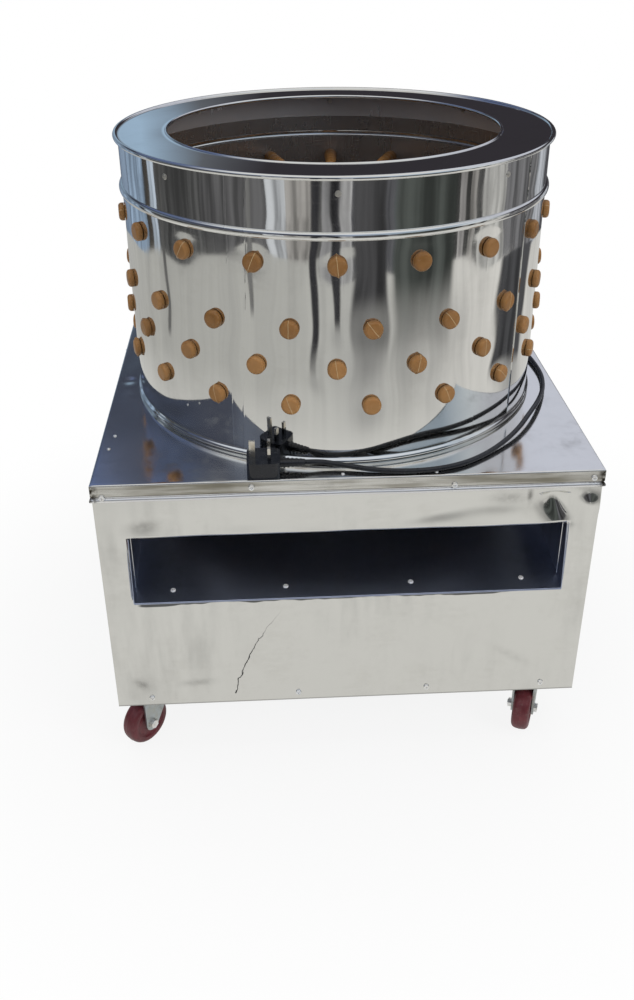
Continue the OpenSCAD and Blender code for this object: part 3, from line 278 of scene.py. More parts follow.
class NodeSheet:
    """Short ways to add nodes to one material, world or group."""

    def __init__(self, tree: NodeTree) -> None:
        """Keep the tree that nodes are added to."""
        self.tree = tree

    def add(self, kind: str, **settings: object) -> Node:
        """Add a node and set its own settings.

        Args:
            kind: Blender's name of the node type.
            settings: Attributes of the node.

        Returns:
            The new node.
        """
        node = self.tree.nodes.new(kind)
        for key, value in settings.items():
            setattr(node, key, value)
        return node

    def chain(self, kind: str, value: object, **settings: object) -> Node:
        """Add a node with its own settings and feed its first input.

        Args:
            kind: Blender's name of the node type.
            value: What its first input gets.
            settings: Attributes of the node.

        Returns:
            The new node.
        """
        node = self.add(kind, **settings)
        self.feed(node.inputs[0], value)
        return node

    def feed(self, socket: Socket, value: object) -> None:
        """Link a socket to an output, or set it to a plain value.

        Args:
            socket: Input of a node.
            value: Output or plain value.
        """
        if isinstance(value, Socket):
            self.tree.links.new(value, socket)
        else:
            socket.default_value = value

    def math(self, operation: str, a: object, b: object = 0.0, clamp: bool = False) -> Socket:
        """Add a Math node.

        Args:
            operation: Blender's name of the operation.
            a: First value or output.
            b: Second value or output.
            clamp: Whether the result stays within 0 to 1.

        Returns:
            The node's output.
        """
        node = self.add("ShaderNodeMath", operation=operation, use_clamp=clamp)
        self.feed(node.inputs[0], a)
        self.feed(node.inputs[1], b)
        return node.outputs[0]

    def times(self, a: object, b: object) -> Socket:
        """Product of two values."""
        return self.math("MULTIPLY", a, b)

    def plus(self, a: object, b: object, clamp: bool = False) -> Socket:
        """Sum of two values, kept within 0 to 1 if it is clamped."""
        return self.math("ADD", a, b, clamp)

    def minus(self, a: object, b: object) -> Socket:
        """First value less the second."""
        return self.math("SUBTRACT", a, b)

    def size(self, a: object) -> Socket:
        """Value without its sign."""
        return self.math("ABSOLUTE", a)

    def place(self) -> Socket:
        """Object coordinates of the shaded point, in metres."""
        return self.add("ShaderNodeTexCoord").outputs["Object"]

    def attribute(self, key: str) -> Socket:
        """Number that the mesh keeps for each point under this name."""
        return self.add("ShaderNodeAttribute", attribute_name=key).outputs["Fac"]

    def fade(
        self, value: object, low: float, high: float, to_low: float = 0.0, to_high: float = 1.0
    ) -> Socket:
        """Map a value smoothly from low..high to to_low..to_high.

        Args:
            value: Output to map.
            low: Value that gives to_low.
            high: Value that gives to_high.
            to_low: Result at low.
            to_high: Result at high.

        Returns:
            The node's output.
        """
        node = self.add("ShaderNodeMapRange", interpolation_type="SMOOTHSTEP")
        names = ("Value", "From Min", "From Max", "To Min", "To Max")
        for key, number in zip(names, (value, low, high, to_low, to_high)):
            self.feed(node.inputs[key], number)
        return node.outputs["Result"]

    def split(self, vector: object) -> tuple[Socket, Socket, Socket]:
        """The x, y and z of a vector."""
        node = self.chain("ShaderNodeSeparateXYZ", vector)
        return node.outputs["X"], node.outputs["Y"], node.outputs["Z"]

    def spot(
        self, x: object, y: object, at: tuple[float, float], half: tuple[float, float], lean: float
    ) -> Socket:
        """Soft oval spot: e to the power of minus the squared distance, counted in half widths.

        Args:
            x: First coordinate.
            y: Second coordinate.
            at: Middle of the spot.
            half: Half widths along the spot's own axes.
            lean: Turn of its first axis in degrees.

        Returns:
            A mask, one in the middle.
        """
        c, k = math.cos(math.radians(lean)), math.sin(math.radians(lean))
        dx = self.minus(x, at[0])
        dy = self.minus(y, at[1])
        along = self.plus(self.times(dx, c), self.times(dy, k))
        across = self.minus(self.times(dy, c), self.times(dx, k))
        u = self.math("DIVIDE", along, half[0])
        v = self.math("DIVIDE", across, half[1])
        square = self.plus(self.times(u, u), self.times(v, v))
        return self.math("EXPONENT", self.times(square, -1.0))

    def ramp(self, value: object, steps: Steps) -> Socket:
        """Colour by the steps that a value lies between.

        Args:
            value: Output to look up.
            steps: Value and colour of each step, rising.

        Returns:
            The colour.
        """
        low, high = steps[0][0], steps[-1][0]
        node = self.add("ShaderNodeValToRGB")
        self.feed(node.inputs[0], self.math("DIVIDE", self.minus(value, low), high - low))
        stops = node.color_ramp.elements
        for k, (place, colour) in enumerate(steps):
            share = (place - low) / (high - low)
            stop = stops[0] if k == 0 else stops[-1] if k == len(steps) - 1 else stops.new(share)
            stop.position = share
            stop.color = (*colour, 1.0)
        return node.outputs["Color"]

    def blend(self, factor: object, a: object, b: object) -> Socket:
        """Mix two colours.

        Args:
            factor: Share of the second colour.
            a: First colour, a triple or an output.
            b: Second colour, a triple or an output.

        Returns:
            The mixed colour.
        """
        node = self.add("ShaderNodeMix", data_type="RGBA", clamp_factor=True)
        self.feed(node.inputs[0], factor)
        for socket, value in ((node.inputs[6], a), (node.inputs[7], b)):
            self.feed(socket, (*value, 1.0) if isinstance(value, tuple) else value)
        return node.outputs[2]

    def noise(
        self, vector: object, scale: object, detail: float = 4.0, rough: float = 0.55
    ) -> Socket:
        """Fractal noise over a vector.

        Args:
            vector: Coordinates.
            scale: Cells for each unit, a number or an output.
            detail: Octaves.
            rough: Share kept by each further octave.

        Returns:
            The noise value, about 0.5 on average.
        """
        node = self.add("ShaderNodeTexNoise")
        self.feed(node.inputs["Vector"], vector)
        self.feed(node.inputs["Scale"], scale)
        node.inputs["Detail"].default_value = detail
        node.inputs["Roughness"].default_value = rough
        return node.outputs["Fac"]

    def stretch(self, vector: object, scale: Triple, turn: Triple = (0.0, 0.0, 0.0)) -> Socket:
        """Scale and turn coordinates with a Mapping node.

        Args:
            vector: Coordinates.
            scale: Scale along each axis.
            turn: Rotation about each axis in radians.

        Returns:
            The mapped coordinates.
        """
        node = self.add("ShaderNodeMapping")
        self.feed(node.inputs["Vector"], vector)
        node.inputs["Scale"].default_value = scale
        node.inputs["Rotation"].default_value = turn
        return node.outputs["Vector"]

    def group(self, tree: NodeTree, **values: object) -> Node:
        """Place a node group and feed its inputs.

        Args:
            tree: The group.
            values: Value or output by the input's name.

        Returns:
            The group's node.
        """
        node = self.add("ShaderNodeGroup", node_tree=tree)
        for key, value in values.items():
            self.feed(node.inputs[key], value)
        return node

    def glow(self, colour: object) -> Socket:
        """Emission of strength one in a colour, a triple or an output."""
        light = (*colour, 1.0) if isinstance(colour, tuple) else colour
        return self.chain("ShaderNodeEmission", light).outputs[0]

    def mix(self, factor: object, first: Socket, second: Socket) -> Socket:
        """Mix two shaders.

        Args:
            factor: Share of the second shader.
            first: First shader.
            second: Second shader.

        Returns:
            The mixed shader.
        """
        node = self.chain("ShaderNodeMixShader", factor)
        self.feed(node.inputs[1], first)
        self.feed(node.inputs[2], second)
        return node.outputs[0]


def node_material(name: str) -> tuple[Material, NodeSheet]:
    """Make a node material.

    Args:
        name: Name of the material.

    Returns:
        The material and the sheet that adds nodes to it.
    """
    made = bpy.data.materials.new(name)
    made.use_nodes = True
    return made, NodeSheet(made.node_tree)


class EffectGroup:
    """A shader node group over coordinates and a scale, with named value outputs."""

    def __init__(self, name: str, scale: float, outputs: list[str]) -> None:
        """Make the group's inputs and outputs, with no nodes between them yet.

        Args:
            name: Name of the group.
            scale: Value of its scale where nothing is fed.
            outputs: Names of the value outputs.
        """
        self.tree = bpy.data.node_groups.new(name, "ShaderNodeTree")
        sockets = self.tree.interface
        sockets.new_socket("Vector", in_out="INPUT", socket_type="NodeSocketVector")
        sized = sockets.new_socket("Scale", in_out="INPUT", socket_type="NodeSocketFloat")
        sized.default_value = scale
        for key in outputs:
            sockets.new_socket(key, in_out="OUTPUT", socket_type="NodeSocketFloat")
        self.sheet = NodeSheet(self.tree)
        source = self.sheet.add("NodeGroupInput")
        self.at = source.outputs["Vector"]
        self.scale = source.outputs["Scale"]
        self.sink = self.sheet.add("NodeGroupOutput")

    def give(self, key: str, value: Socket) -> None:
        """Link a value to the group's output with this name."""
        self.tree.links.new(value, self.sink.inputs[key])


class Effects:
    """Effects that several finishes share, each a node group that is built on first use."""

    @staticmethod
    @cache
    def smears() -> NodeTree:
        """Wiped smears, hair scratches and a faint orange peel of polished sheet.

        Returns:
            The group, with outputs Smear, Scratch and Peel.
        """
        made = EffectGroup("Sheet smears", 6.0, ["Smear", "Scratch", "Peel"])
        s, at, scale = made.sheet, made.at, made.scale
        clouds = s.noise(at, scale, 5.0, 0.62)
        slanted = s.stretch(at, (1.0, 1.0, 0.18), (0.3, 0.5, 0.0))
        wiped = s.noise(slanted, s.times(scale, 7.0), 3.0)
        smear = s.times(s.fade(clouds, 0.44, 0.72), s.fade(wiped, 0.35, 0.75))
        fine = s.noise(s.stretch(at, (900.0, 900.0, 9.0), (0.12, 0.07, 0.0)), 1.0, 2.0)
        cross = s.noise(s.stretch(at, (14.0, 14.0, 1100.0), (0.1, -0.16, 0.0)), 1.0, 2.0)
        made.give("Smear", smear)
        made.give("Scratch", s.math("MAXIMUM", s.fade(fine, 0.66, 0.74), s.fade(cross, 0.68, 0.76)))
        made.give("Peel", s.noise(at, 55.0, 2.0))
        return made.tree

    @staticmethod
    @cache
    def grime() -> NodeTree:
        """Blotches of dried dirt.

        Returns:
            The group, with the output Dirt.
        """
        made = EffectGroup("Dried grime", 20.0, ["Dirt"])
        s, at, scale = made.sheet, made.at, made.scale
        blots = s.noise(at, scale, 6.0, 0.7)
        streaks = s.noise(s.stretch(at, (1.0, 1.0, 3.0)), s.times(scale, 2.3), 4.0)
        made.give("Dirt", s.times(s.fade(blots, 0.46, 0.70), s.fade(streaks, 0.30, 0.62)))
        return made.tree

    @staticmethod
    @cache
    def grain() -> NodeTree:
        """Soft mottling, dust and a fine moulded grain for rubber and plastic.

        Returns:
            The group, with outputs Mottle, Dust and Grain.
        """
        made = EffectGroup("Moulded grain", 40.0, ["Mottle", "Dust", "Grain"])
        s, at, scale = made.sheet, made.at, made.scale
        made.give("Mottle", s.noise(at, scale, 4.0))
        dust = s.noise(at, s.times(scale, 3.0), 6.0, 0.7)
        made.give("Dust", s.fade(dust, 0.52, 0.75))
        made.give("Grain", s.noise(at, s.times(scale, 45.0), 2.0))
        return made.tree


@dataclass(frozen=True)
class ScratchLine:
    """A long dark scratch on the front panel, from its upper to its lower end, in metres."""

    top_x: float = -0.087
    top_z: float = 0.275
    low_x: float = -0.165
    low_z: float = 0.119
    bow: float = -0.052
    width: float = 0.0011
    shake: float = 0.012
    tint: Colour = (0.03, 0.03, 0.035)

    def mask(self, s: NodeSheet, at: object) -> object:
        """Distance from a bowed line: straight across the height plus bow times along (1 - along).

        Args:
            s: Node sheet of the material.
            at: Object coordinates.

        Returns:
            A mask that is one on the line and fades towards its upper end.
        """
        x, _, z = s.split(at)
        along = s.math("DIVIDE", s.minus(self.top_z, z), self.top_z - self.low_z)
        straight = s.plus(s.times(along, self.low_x - self.top_x), self.top_x)
        hump = s.times(s.times(along, s.minus(1.0, along)), self.bow)
        shake = s.times(s.minus(s.noise(at, 60.0, 3.0), 0.5), self.shake)
        line = s.plus(s.plus(straight, hump), shake)
        near = s.size(s.minus(x, line))
        thin = s.fade(near, self.width, self.width * 0.3)
        inside = s.times(s.fade(along, 0.0, 0.55), s.math("LESS_THAN", along, 1.0))
        worn = s.fade(s.noise(at, 45.0), 0.30, 0.50, 0.35, 1.0)
        return s.times(thin, s.times(inside, worn))


class Finish:
    """Base of every finish: one Principled shader whose sockets the finish feeds."""

    name = "finish"

    def start(self) -> tuple[Material, NodeSheet, Node, Socket]:
        """Make a node material.

        Returns:
            The material, its node sheet, its Principled shader and the Object coordinates.
        """
        made, sheet = node_material(self.name)
        shader = made.node_tree.nodes["Principled BSDF"]
        return made, sheet, shader, sheet.place()

    def relief(self, sheet: NodeSheet, shader: Node, *layers: Layer) -> None:
        """Feed the shader's normal through one Bump node for each layer.

        Args:
            sheet: Node sheet of the material.
            shader: Principled shader.
            layers: Height field, depth of one unit of height in metres, and strength.
        """
        normal = None
        for height, depth, strength in layers:
            node = sheet.add("ShaderNodeBump")
            node.inputs["Strength"].default_value = strength
            node.inputs["Distance"].default_value = depth
            sheet.feed(node.inputs["Height"], height)
            if normal is not None:
                sheet.feed(node.inputs["Normal"], normal)
            normal = node.outputs["Normal"]
        sheet.feed(shader.inputs["Normal"], normal)


@dataclass
class Look:
    """Colour, roughness and relief layers of a material while its finish is built up."""

    colour: object
    rough: object
    layers: list[Layer]

    def cover(self, s: NodeSheet, mask: object, colour: Colour, rough: float) -> None:
        """Lay a film over the look by a mask: its colour covers, and its roughness is added."""
        self.colour = s.blend(mask, self.colour, colour)
        self.rough = s.plus(self.rough, s.times(mask, rough), True)


@dataclass(frozen=True)
class PolishedSheet(Finish):
    """Mirror-polished stainless sheet with smears, hair scratches and blots of dried dirt."""

    name: str = "polished_sheet"
    tint: Colour = (0.78, 0.775, 0.75)
    rough: float = 0.05
    smear: float = 0.16
    smear_scale: float = 6.0
    peel: float = 0.05
    dirt: float = 0.12
    inner: Colour | None = None
    inner_rough: float = 0.0
    inner_haze: float = 0.0
    hairs: float = 0.06
    dirt_tint: Colour = (0.20, 0.155, 0.10)

    def make(self) -> Material:
        """Build the material.

        Returns:
            The material.
        """
        made, s, shader, at = self.start()
        shader.inputs["Metallic"].default_value = 1.0
        look = self.plain(s, at)
        self.mark(s, at, look)
        if self.inner is not None:
            self.dim(s, shader, look, self.inner)
        s.feed(shader.inputs["Base Color"], look.colour)
        s.feed(shader.inputs["Roughness"], look.rough)
        self.relief(s, shader, *look.layers)
        return made

    def plain(self, s: NodeSheet, at: object) -> Look:
        """The sheet's smears, scratches, peel and dirt.

        Args:
            s: Node sheet of the material.
            at: Object coordinates.

        Returns:
            The look that special marks are added to.
        """
        marks = s.group(Effects.smears(), Vector=at, Scale=self.smear_scale)
        grime = s.group(Effects.grime(), Vector=at, Scale=14.0)
        dirt = s.times(grime.outputs["Dirt"], self.dirt)
        shade = tuple(0.82 * c for c in self.tint)
        colour = s.blend(marks.outputs["Smear"], self.tint, shade)
        dull = s.times(marks.outputs["Smear"], self.smear)
        hairs = s.times(marks.outputs["Scratch"], self.hairs)
        rough = s.plus(s.plus(dull, self.rough), hairs)
        look = Look(colour, rough, [(marks.outputs["Peel"], 0.0002, self.peel)])
        look.cover(s, dirt, self.dirt_tint, 0.45)
        return look

    def mark(self, s: NodeSheet, at: object, look: Look) -> None:
        """Marks of one sheet alone; a plain sheet has none."""

    def dim(self, s: NodeSheet, shader: Node, look: Look, inner: Colour) -> None:
        """Give the side that faces into the drum, where the attribute inside is one, a darker colour, more
        roughness and haze: painted shade.

        Args:
            s: Node sheet of the material.
            shader: Principled shader, whose metal gives way to haze there.
            look: Look to change.
            inner: Colour of that side.
        """
        inside = s.attribute("inside")
        look.cover(s, inside, inner, self.inner_rough)
        s.feed(shader.inputs["Metallic"], s.minus(1.0, s.times(inside, self.inner_haze)))


@dataclass(frozen=True)
class DrumSheet(PolishedSheet):
    """Drum wall with upright creases, each an angle from -Y in degrees, its lean and its lift; its inner
    side has painted shade.
    """

    name: str = "drum_sheet"
    rough: float = 0.045
    smear: float = 0.09
    smear_scale: float = 5.0
    peel: float = 0.03
    dirt: float = 0.05
    # Darker, hazier colour of the inner side: painted shade inside the drum.
    inner: Colour | None = (0.45, 0.43, 0.42)
    inner_rough: float = 0.22
    inner_haze: float = 0.12
    creases: tuple[Triple, ...] = (
        (-25.6, 9.0, 0.22), (-29.9, 3.0, 0.16), (36.8, 4.0, 0.12), (-61.0, 2.0, 0.12), (118.0, 5.0, 0.15),
        (161.0, -4.0, 0.16), (-140.0, 3.0, 0.15), (-172.0, 6.0, 0.12), (84.0, -3.0, 0.12),
    )
    crease_half: float = 0.34
    crease_mid: float = 0.69
    crease_shake: float = 1.6

    def mark(self, s: NodeSheet, at: object, look: Look) -> None:
        """Add thin upright creases: a hump where the angle round the axis meets a slightly leaning line.

        Args:
            s: Node sheet of the material.
            at: Object coordinates.
            look: Look to add to.
        """
        x, y, z = s.split(at)
        turn = s.times(s.math("ARCTAN2", x, s.times(y, -1.0)), 180.0 / math.pi)
        upwards = s.noise(s.stretch(at, (0.0, 0.0, 1.0)), 14.0)
        shake = s.times(s.minus(upwards, 0.5), self.crease_shake)
        height: object = 0.0
        for angle, lean, lift in self.creases:
            line = s.plus(s.times(s.minus(z, self.crease_mid), lean), angle)
            near = s.size(s.minus(turn, s.plus(line, shake)))
            height = s.plus(height, s.times(s.fade(near, self.crease_half, 0.0), lift))
        broken = s.times(height, s.fade(s.noise(at, 11.0, 3.0), 0.38, 0.58))
        look.layers.append((broken, 0.0005, 0.8))


@dataclass(frozen=True)
class DeckSheet(PolishedSheet):
    """Deck whose upright lip carries a brownish film, wiped sideways, dirt packed into its corners, a
    painted highlight on its hem and painted shade in its groove.
    """

    name: str = "deck_sheet"
    rough: float = 0.12
    smear: float = 0.14
    smear_scale: float = 7.0
    peel: float = 0.01
    dirt: float = 0.08
    hairs: float = 0.0
    hem_top: float = 0.4625
    corner: tuple[float, float] = (0.327, 0.3385)
    film_tint: Colour = (0.37, 0.345, 0.28)
    # Near-white colour of the rolled hem: a painted highlight.
    hem_highlight_tint: Colour = (0.94, 0.94, 0.95)
    # Dark colour of the dirt packed into the corners and of the painted shade line in the groove.
    packed_dirt_and_shade_tint: Colour = (0.075, 0.062, 0.042)

    def mark(self, s: NodeSheet, at: object, look: Look) -> None:
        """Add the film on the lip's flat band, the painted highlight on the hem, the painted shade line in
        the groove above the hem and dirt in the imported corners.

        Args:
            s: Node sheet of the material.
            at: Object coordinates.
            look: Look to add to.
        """
        x, y, z = s.split(at)
        top = DECK * MM
        lip = s.fade(z, top - 0.0008, top - 0.0030)
        band = s.times(lip, s.fade(z, self.hem_top - 0.0012, self.hem_top + 0.0006))
        wiped = s.noise(s.stretch(at, (1.0, 1.0, 16.0)), 9.0, 5.0, 0.62)
        cloud = s.noise(at, 5.5, 3.0)
        streaks = s.fade(wiped, 0.36, 0.66, 0.22, 0.70)
        film = s.plus(streaks, s.fade(cloud, 0.40, 0.64, -0.05, 0.30), True)
        look.cover(s, s.times(band, film), self.film_tint, 0.38)
        # Painted highlight: the rolled hem is painted near white.
        hem = s.times(s.fade(z, self.hem_top, self.hem_top - 0.0012), 0.85)
        look.cover(s, hem, self.hem_highlight_tint, 0.28)
        # Painted shade: a dark line in the narrow groove between the band and the hem.
        near = s.size(s.minus(z, self.hem_top))
        groove = s.times(lip, s.fade(near, 0.0010, 0.0002))
        inner = s.math("MINIMUM", s.size(x), s.size(y))
        uneven = s.fade(s.noise(at, 170.0, 4.0), 0.34, 0.60)
        packed = s.times(lip, s.times(s.fade(inner, *self.corner), uneven))
        dark = s.math("MAXIMUM", s.times(groove, 0.85), packed)
        look.cover(s, dark, self.packed_dirt_and_shade_tint, 0.5)


@dataclass(frozen=True)
class SmudgeShade:
    """A dark oval on the front panel, mostly on a dent, as a painted dark reflection of the dent and
    partly a dull smudge: its middle, half widths, lean in degrees and weight.
    """

    x: float
    z: float
    long: float
    wide: float
    lean: float
    weight: float


@dataclass(frozen=True)
class FrontSheet(PolishedSheet):
    """Front panel with its long scratch, dark ovals of painted dent reflection and dull smudge, painted
    shade under the chute's lip and a painted shade line along its foot.
    """

    name: str = "front_sheet"
    tint: Colour = (0.76, 0.755, 0.725)
    rough: float = 0.08
    smear: float = 0.10
    smear_scale: float = 5.0
    peel: float = 0.05
    dirt: float = 0.06
    foot: float = CABINET_LOW * MM
    lip_z: float = 0.2868
    # How far the painted shade under the chute's lip hangs at most.
    lip_shade_depth: float = 0.0042
    lip_half: float = 0.296
    scratch: ScratchLine = ScratchLine()
    # Dark ovals, most of them on the dents: painted dark reflections of the dents, partly dull smudges.
    smudge_shades: tuple[SmudgeShade, ...] = (
        SmudgeShade(-0.276, 0.415, 0.020, 0.008, 8.0, 0.45),
        SmudgeShade(-0.301, 0.143, 0.012, 0.007, -35.0, 0.55),
        SmudgeShade(-0.220, 0.143, 0.022, 0.006, 4.0, 0.35),
        SmudgeShade(0.238, 0.172, 0.030, 0.007, -32.0, 0.14),
        SmudgeShade(0.214, 0.440, 0.024, 0.009, 0.0, 0.40),
        SmudgeShade(0.242, 0.443, 0.004, 0.010, 0.0, 0.75),
    )
    smudge_shade_tint: Colour = (0.17, 0.165, 0.155)
    # Colour of the painted shade under the chute's lip.
    lip_shade_tint: Colour = (0.03, 0.032, 0.036)
    # Colour of the painted shade line along the panel's bottom fold.
    foot_shade_tint: Colour = (0.06, 0.06, 0.065)

    def mark(self, s: NodeSheet, at: object, look: Look) -> None:
        """Add the dark ovals of painted dent reflection and smudge, the scratch, the painted shade under
        the chute's lip and the painted shade line along the foot.

        Args:
            s: Node sheet of the material.
            at: Object coordinates.
            look: Look to add to.
        """
        x, _, z = s.split(at)
        dull: object = 0.0
        # Painted dark reflection of the dents, partly smudge.
        for smudge_shade in self.smudge_shades:
            middle, half = (smudge_shade.x, smudge_shade.z), (smudge_shade.long, smudge_shade.wide)
            oval = s.spot(x, z, middle, half, smudge_shade.lean)
            dull = s.math("MAXIMUM", dull, s.times(oval, smudge_shade.weight))
        uneven = s.fade(s.noise(at, 120.0, 4.0), 0.25, 0.60, 0.55, 1.0)
        look.cover(s, s.times(dull, uneven), self.smudge_shade_tint, 0.3)
        line = self.scratch.mask(s, at)
        look.cover(s, line, self.scratch.tint, 0.5)
        look.layers.append((s.times(line, -1.0), 0.0004, 0.4))
        # Painted shade: a dark band under the chute's lip.
        look.cover(s, self.lip_shade(s, at), self.lip_shade_tint, 0.3)
        # Painted shade: a dark line along the panel's bottom fold.
        foot = s.times(s.fade(z, self.foot + 0.004, self.foot + 0.001), 0.55)
        look.colour = s.blend(foot, look.colour, self.foot_shade_tint)

    def lip_shade(self, s: NodeSheet, at: object) -> Socket:
        """Painted shade under the chute's lip, as far down as a noise along x lets it hang.

        Args:
            s: Node sheet of the material.
            at: Object coordinates.

        Returns:
            A mask that is nearly one in the painted shade.
        """
        x, _, z = s.split(at)
        along = s.noise(s.stretch(at, (1.0, 0.0, 0.0)), 9.0, 3.0)
        thick = s.fade(along, 0.38, 0.62, 0.0, self.lip_shade_depth)
        hangs = s.fade(s.minus(z, s.minus(self.lip_z, thick)), -0.0006, 0.0006)
        below = s.fade(z, self.lip_z + 0.008, self.lip_z + 0.007)
        within = s.fade(s.size(x), self.lip_half, self.lip_half - 0.008, 0.0, 0.85)
        return s.times(s.times(hangs, below), within)


@dataclass(frozen=True)
class ZincPlate(Finish):
    """Bright zinc plate with cloudy passivation and handling marks."""

    name: str = "zinc_plate"
    tint: Colour = (0.56, 0.575, 0.58)
    rough: float = 0.30
    dirt: float = 0.35
    metal: float = 1.0
    dirt_tint: Colour = (0.09, 0.075, 0.06)

    def make(self) -> Material:
        """Build the material.

        Returns:
            The material.
        """
        made, s, shader, at = self.start()
        shader.inputs["Metallic"].default_value = self.metal
        clouds = s.noise(at, 70.0, 4.0)
        grime = s.group(Effects.grime(), Vector=at, Scale=55.0)
        warm = (self.tint[0] * 1.02, self.tint[1] * 0.96, self.tint[2] * 0.86)
        colour = self.height_tone(s, at, s.blend(s.fade(clouds, 0.35, 0.7), self.tint, warm))
        dirt = s.times(grime.outputs["Dirt"], self.dirt)
        s.feed(shader.inputs["Base Color"], s.blend(dirt, colour, self.dirt_tint))
        worn = s.fade(clouds, 0.3, 0.75, self.rough, self.rough + 0.16)
        s.feed(shader.inputs["Roughness"], s.plus(worn, dirt, True))
        self.relief(s, shader, (s.noise(at, 900.0, 2.0), 0.0002, 0.12))
        return made

    def height_tone(self, s: NodeSheet, at: object, colour: object) -> object:
        """The plate's colour as it is, the same at every height."""
        return colour


@dataclass(frozen=True)
class RivetZinc(ZincPlate):
    """Rivets' zinc: near white low down, as a painted glint on the chute's rivets, and darker and brownish
    above the deck.
    """

    name: str = "rivet_zinc"
    # Near-white, partly diffuse colour: a painted glint on the chute's rivets.
    tint: Colour = (0.93, 0.94, 0.97)
    rough: float = 0.30
    dirt: float = 0.15
    metal: float = 0.45
    dull: Colour = (0.36, 0.345, 0.31)
    dull_from: float = DECK * MM

    def height_tone(self, s: NodeSheet, at: object, colour: object) -> object:
        """The near-white colour that paints the glint, turned darker and brownish on the rivets above the
        deck.
        """
        _, _, z = s.split(at)
        return s.blend(s.fade(z, self.dull_from, self.dull_from + 0.1), colour, self.dull)


@dataclass(frozen=True)
class PaintedIron(Finish):
    """Brushed paint over iron, with chips that show rust."""

    name: str = "frame_paint"
    tint: Colour = (0.13, 0.14, 0.15)
    rough: float = 0.5
    chips: float = 1.0
    grain: float = 0.25
    rust: Colour = (0.16, 0.055, 0.02)
    dirt_tint: Colour = (0.06, 0.05, 0.045)

    def make(self) -> Material:
        """Build the material.

        Returns:
            The material.
        """
        made, s, shader, at = self.start()
        grime = s.group(Effects.grime(), Vector=at, Scale=26.0)
        mottle = s.noise(at, 30.0, 5.0)
        pale = tuple(1.25 * c for c in self.tint)
        colour = s.blend(s.fade(mottle, 0.35, 0.7), self.tint, pale)
        chipped = s.times(s.fade(s.noise(at, 85.0, 5.0, 0.7), 0.64, 0.70), self.chips)
        colour = s.blend(chipped, colour, self.rust)
        colour = s.blend(s.times(grime.outputs["Dirt"], 0.4), colour, self.dirt_tint)
        s.feed(shader.inputs["Base Color"], colour)
        worn = s.fade(mottle, 0.3, 0.7, self.rough - 0.08, self.rough + 0.1)
        s.feed(shader.inputs["Roughness"], s.plus(worn, s.times(chipped, 0.3), True))
        height = s.minus(s.noise(at, 420.0, 3.0), chipped)
        self.relief(s, shader, (height, 0.0004, self.grain))
        return made


@dataclass(frozen=True)
class AmberRubber(Finish):
    """Soft amber rubber: its tone differs from finger to finger, and a thin mould line crosses some heads.

    It reads three attributes: tone, which on the lower wall fingers carries painted light, flash, and
    across, the millimetres from the mould's parting plane.
    """

    name: str = "finger_rubber"
    deep: Colour = (0.195, 0.084, 0.015)
    light: Colour = (0.44, 0.222, 0.074)
    line: Colour = (0.66, 0.50, 0.28)
    line_half: float = 0.55
    dust_tint: Colour = (0.50, 0.44, 0.34)

    def make(self) -> Material:
        """Build the material.

        Returns:
            The material.
        """
        made, s, shader, at = self.start()
        tone, across, flash = (s.attribute(key) for key in ("tone", "across", "flash"))
        grain = s.group(Effects.grain(), Vector=at, Scale=60.0)
        wander = s.times(s.minus(grain.outputs["Mottle"], 0.5), 0.7)
        colour = s.blend(s.plus(tone, wander, True), self.deep, self.light)
        near = s.size(s.plus(across, s.times(wander, 1.5)))
        mould = s.times(s.fade(near, self.line_half, self.line_half * 0.3), flash)
        colour = s.blend(s.times(mould, 0.7), colour, self.line)
        colour = s.blend(s.times(grain.outputs["Dust"], 0.12), colour, self.dust_tint)
        s.feed(shader.inputs["Base Color"], colour)
        s.feed(shader.inputs["Roughness"], s.fade(grain.outputs["Mottle"], 0.3, 0.7, 0.36, 0.55))
        shader.inputs["Subsurface Weight"].default_value = 0.08
        shader.inputs["Subsurface Radius"].default_value = (0.004, 0.002, 0.001)
        self.relief(s, shader, (grain.outputs["Grain"], 0.0003, 0.12), (mould, 0.0006, 0.6))
        return made


@dataclass(frozen=True)
class MouldedPlastic(Finish):
    """Moulded plastic or hard rubber with mottling, dust and a fine grain."""

    name: str = "black_plastic"
    tint: Colour = (0.016, 0.018, 0.022)
    pale: Colour = (0.030, 0.032, 0.036)
    dust_tint: Colour = (0.16, 0.15, 0.14)
    dust: float = 0.10
    rough: float = 0.42
    scale: float = 40.0
    grain: float = 0.10

    def make(self) -> Material:
        """Build the material.

        Returns:
            The material.
        """
        made, s, shader, at = self.start()
        grain = s.group(Effects.grain(), Vector=at, Scale=self.scale)
        colour = s.blend(s.fade(grain.outputs["Mottle"], 0.35, 0.7), self.tint, self.pale)
        dust = s.times(grain.outputs["Dust"], self.dust)
        s.feed(shader.inputs["Base Color"], s.blend(dust, colour, self.dust_tint))
        worn = s.fade(grain.outputs["Mottle"], 0.3, 0.7, self.rough - 0.07, self.rough + 0.08)
        s.feed(shader.inputs["Roughness"], s.plus(worn, s.times(dust, 0.6), True))
        self.relief(s, shader, (grain.outputs["Grain"], 0.0002, self.grain))
        return made


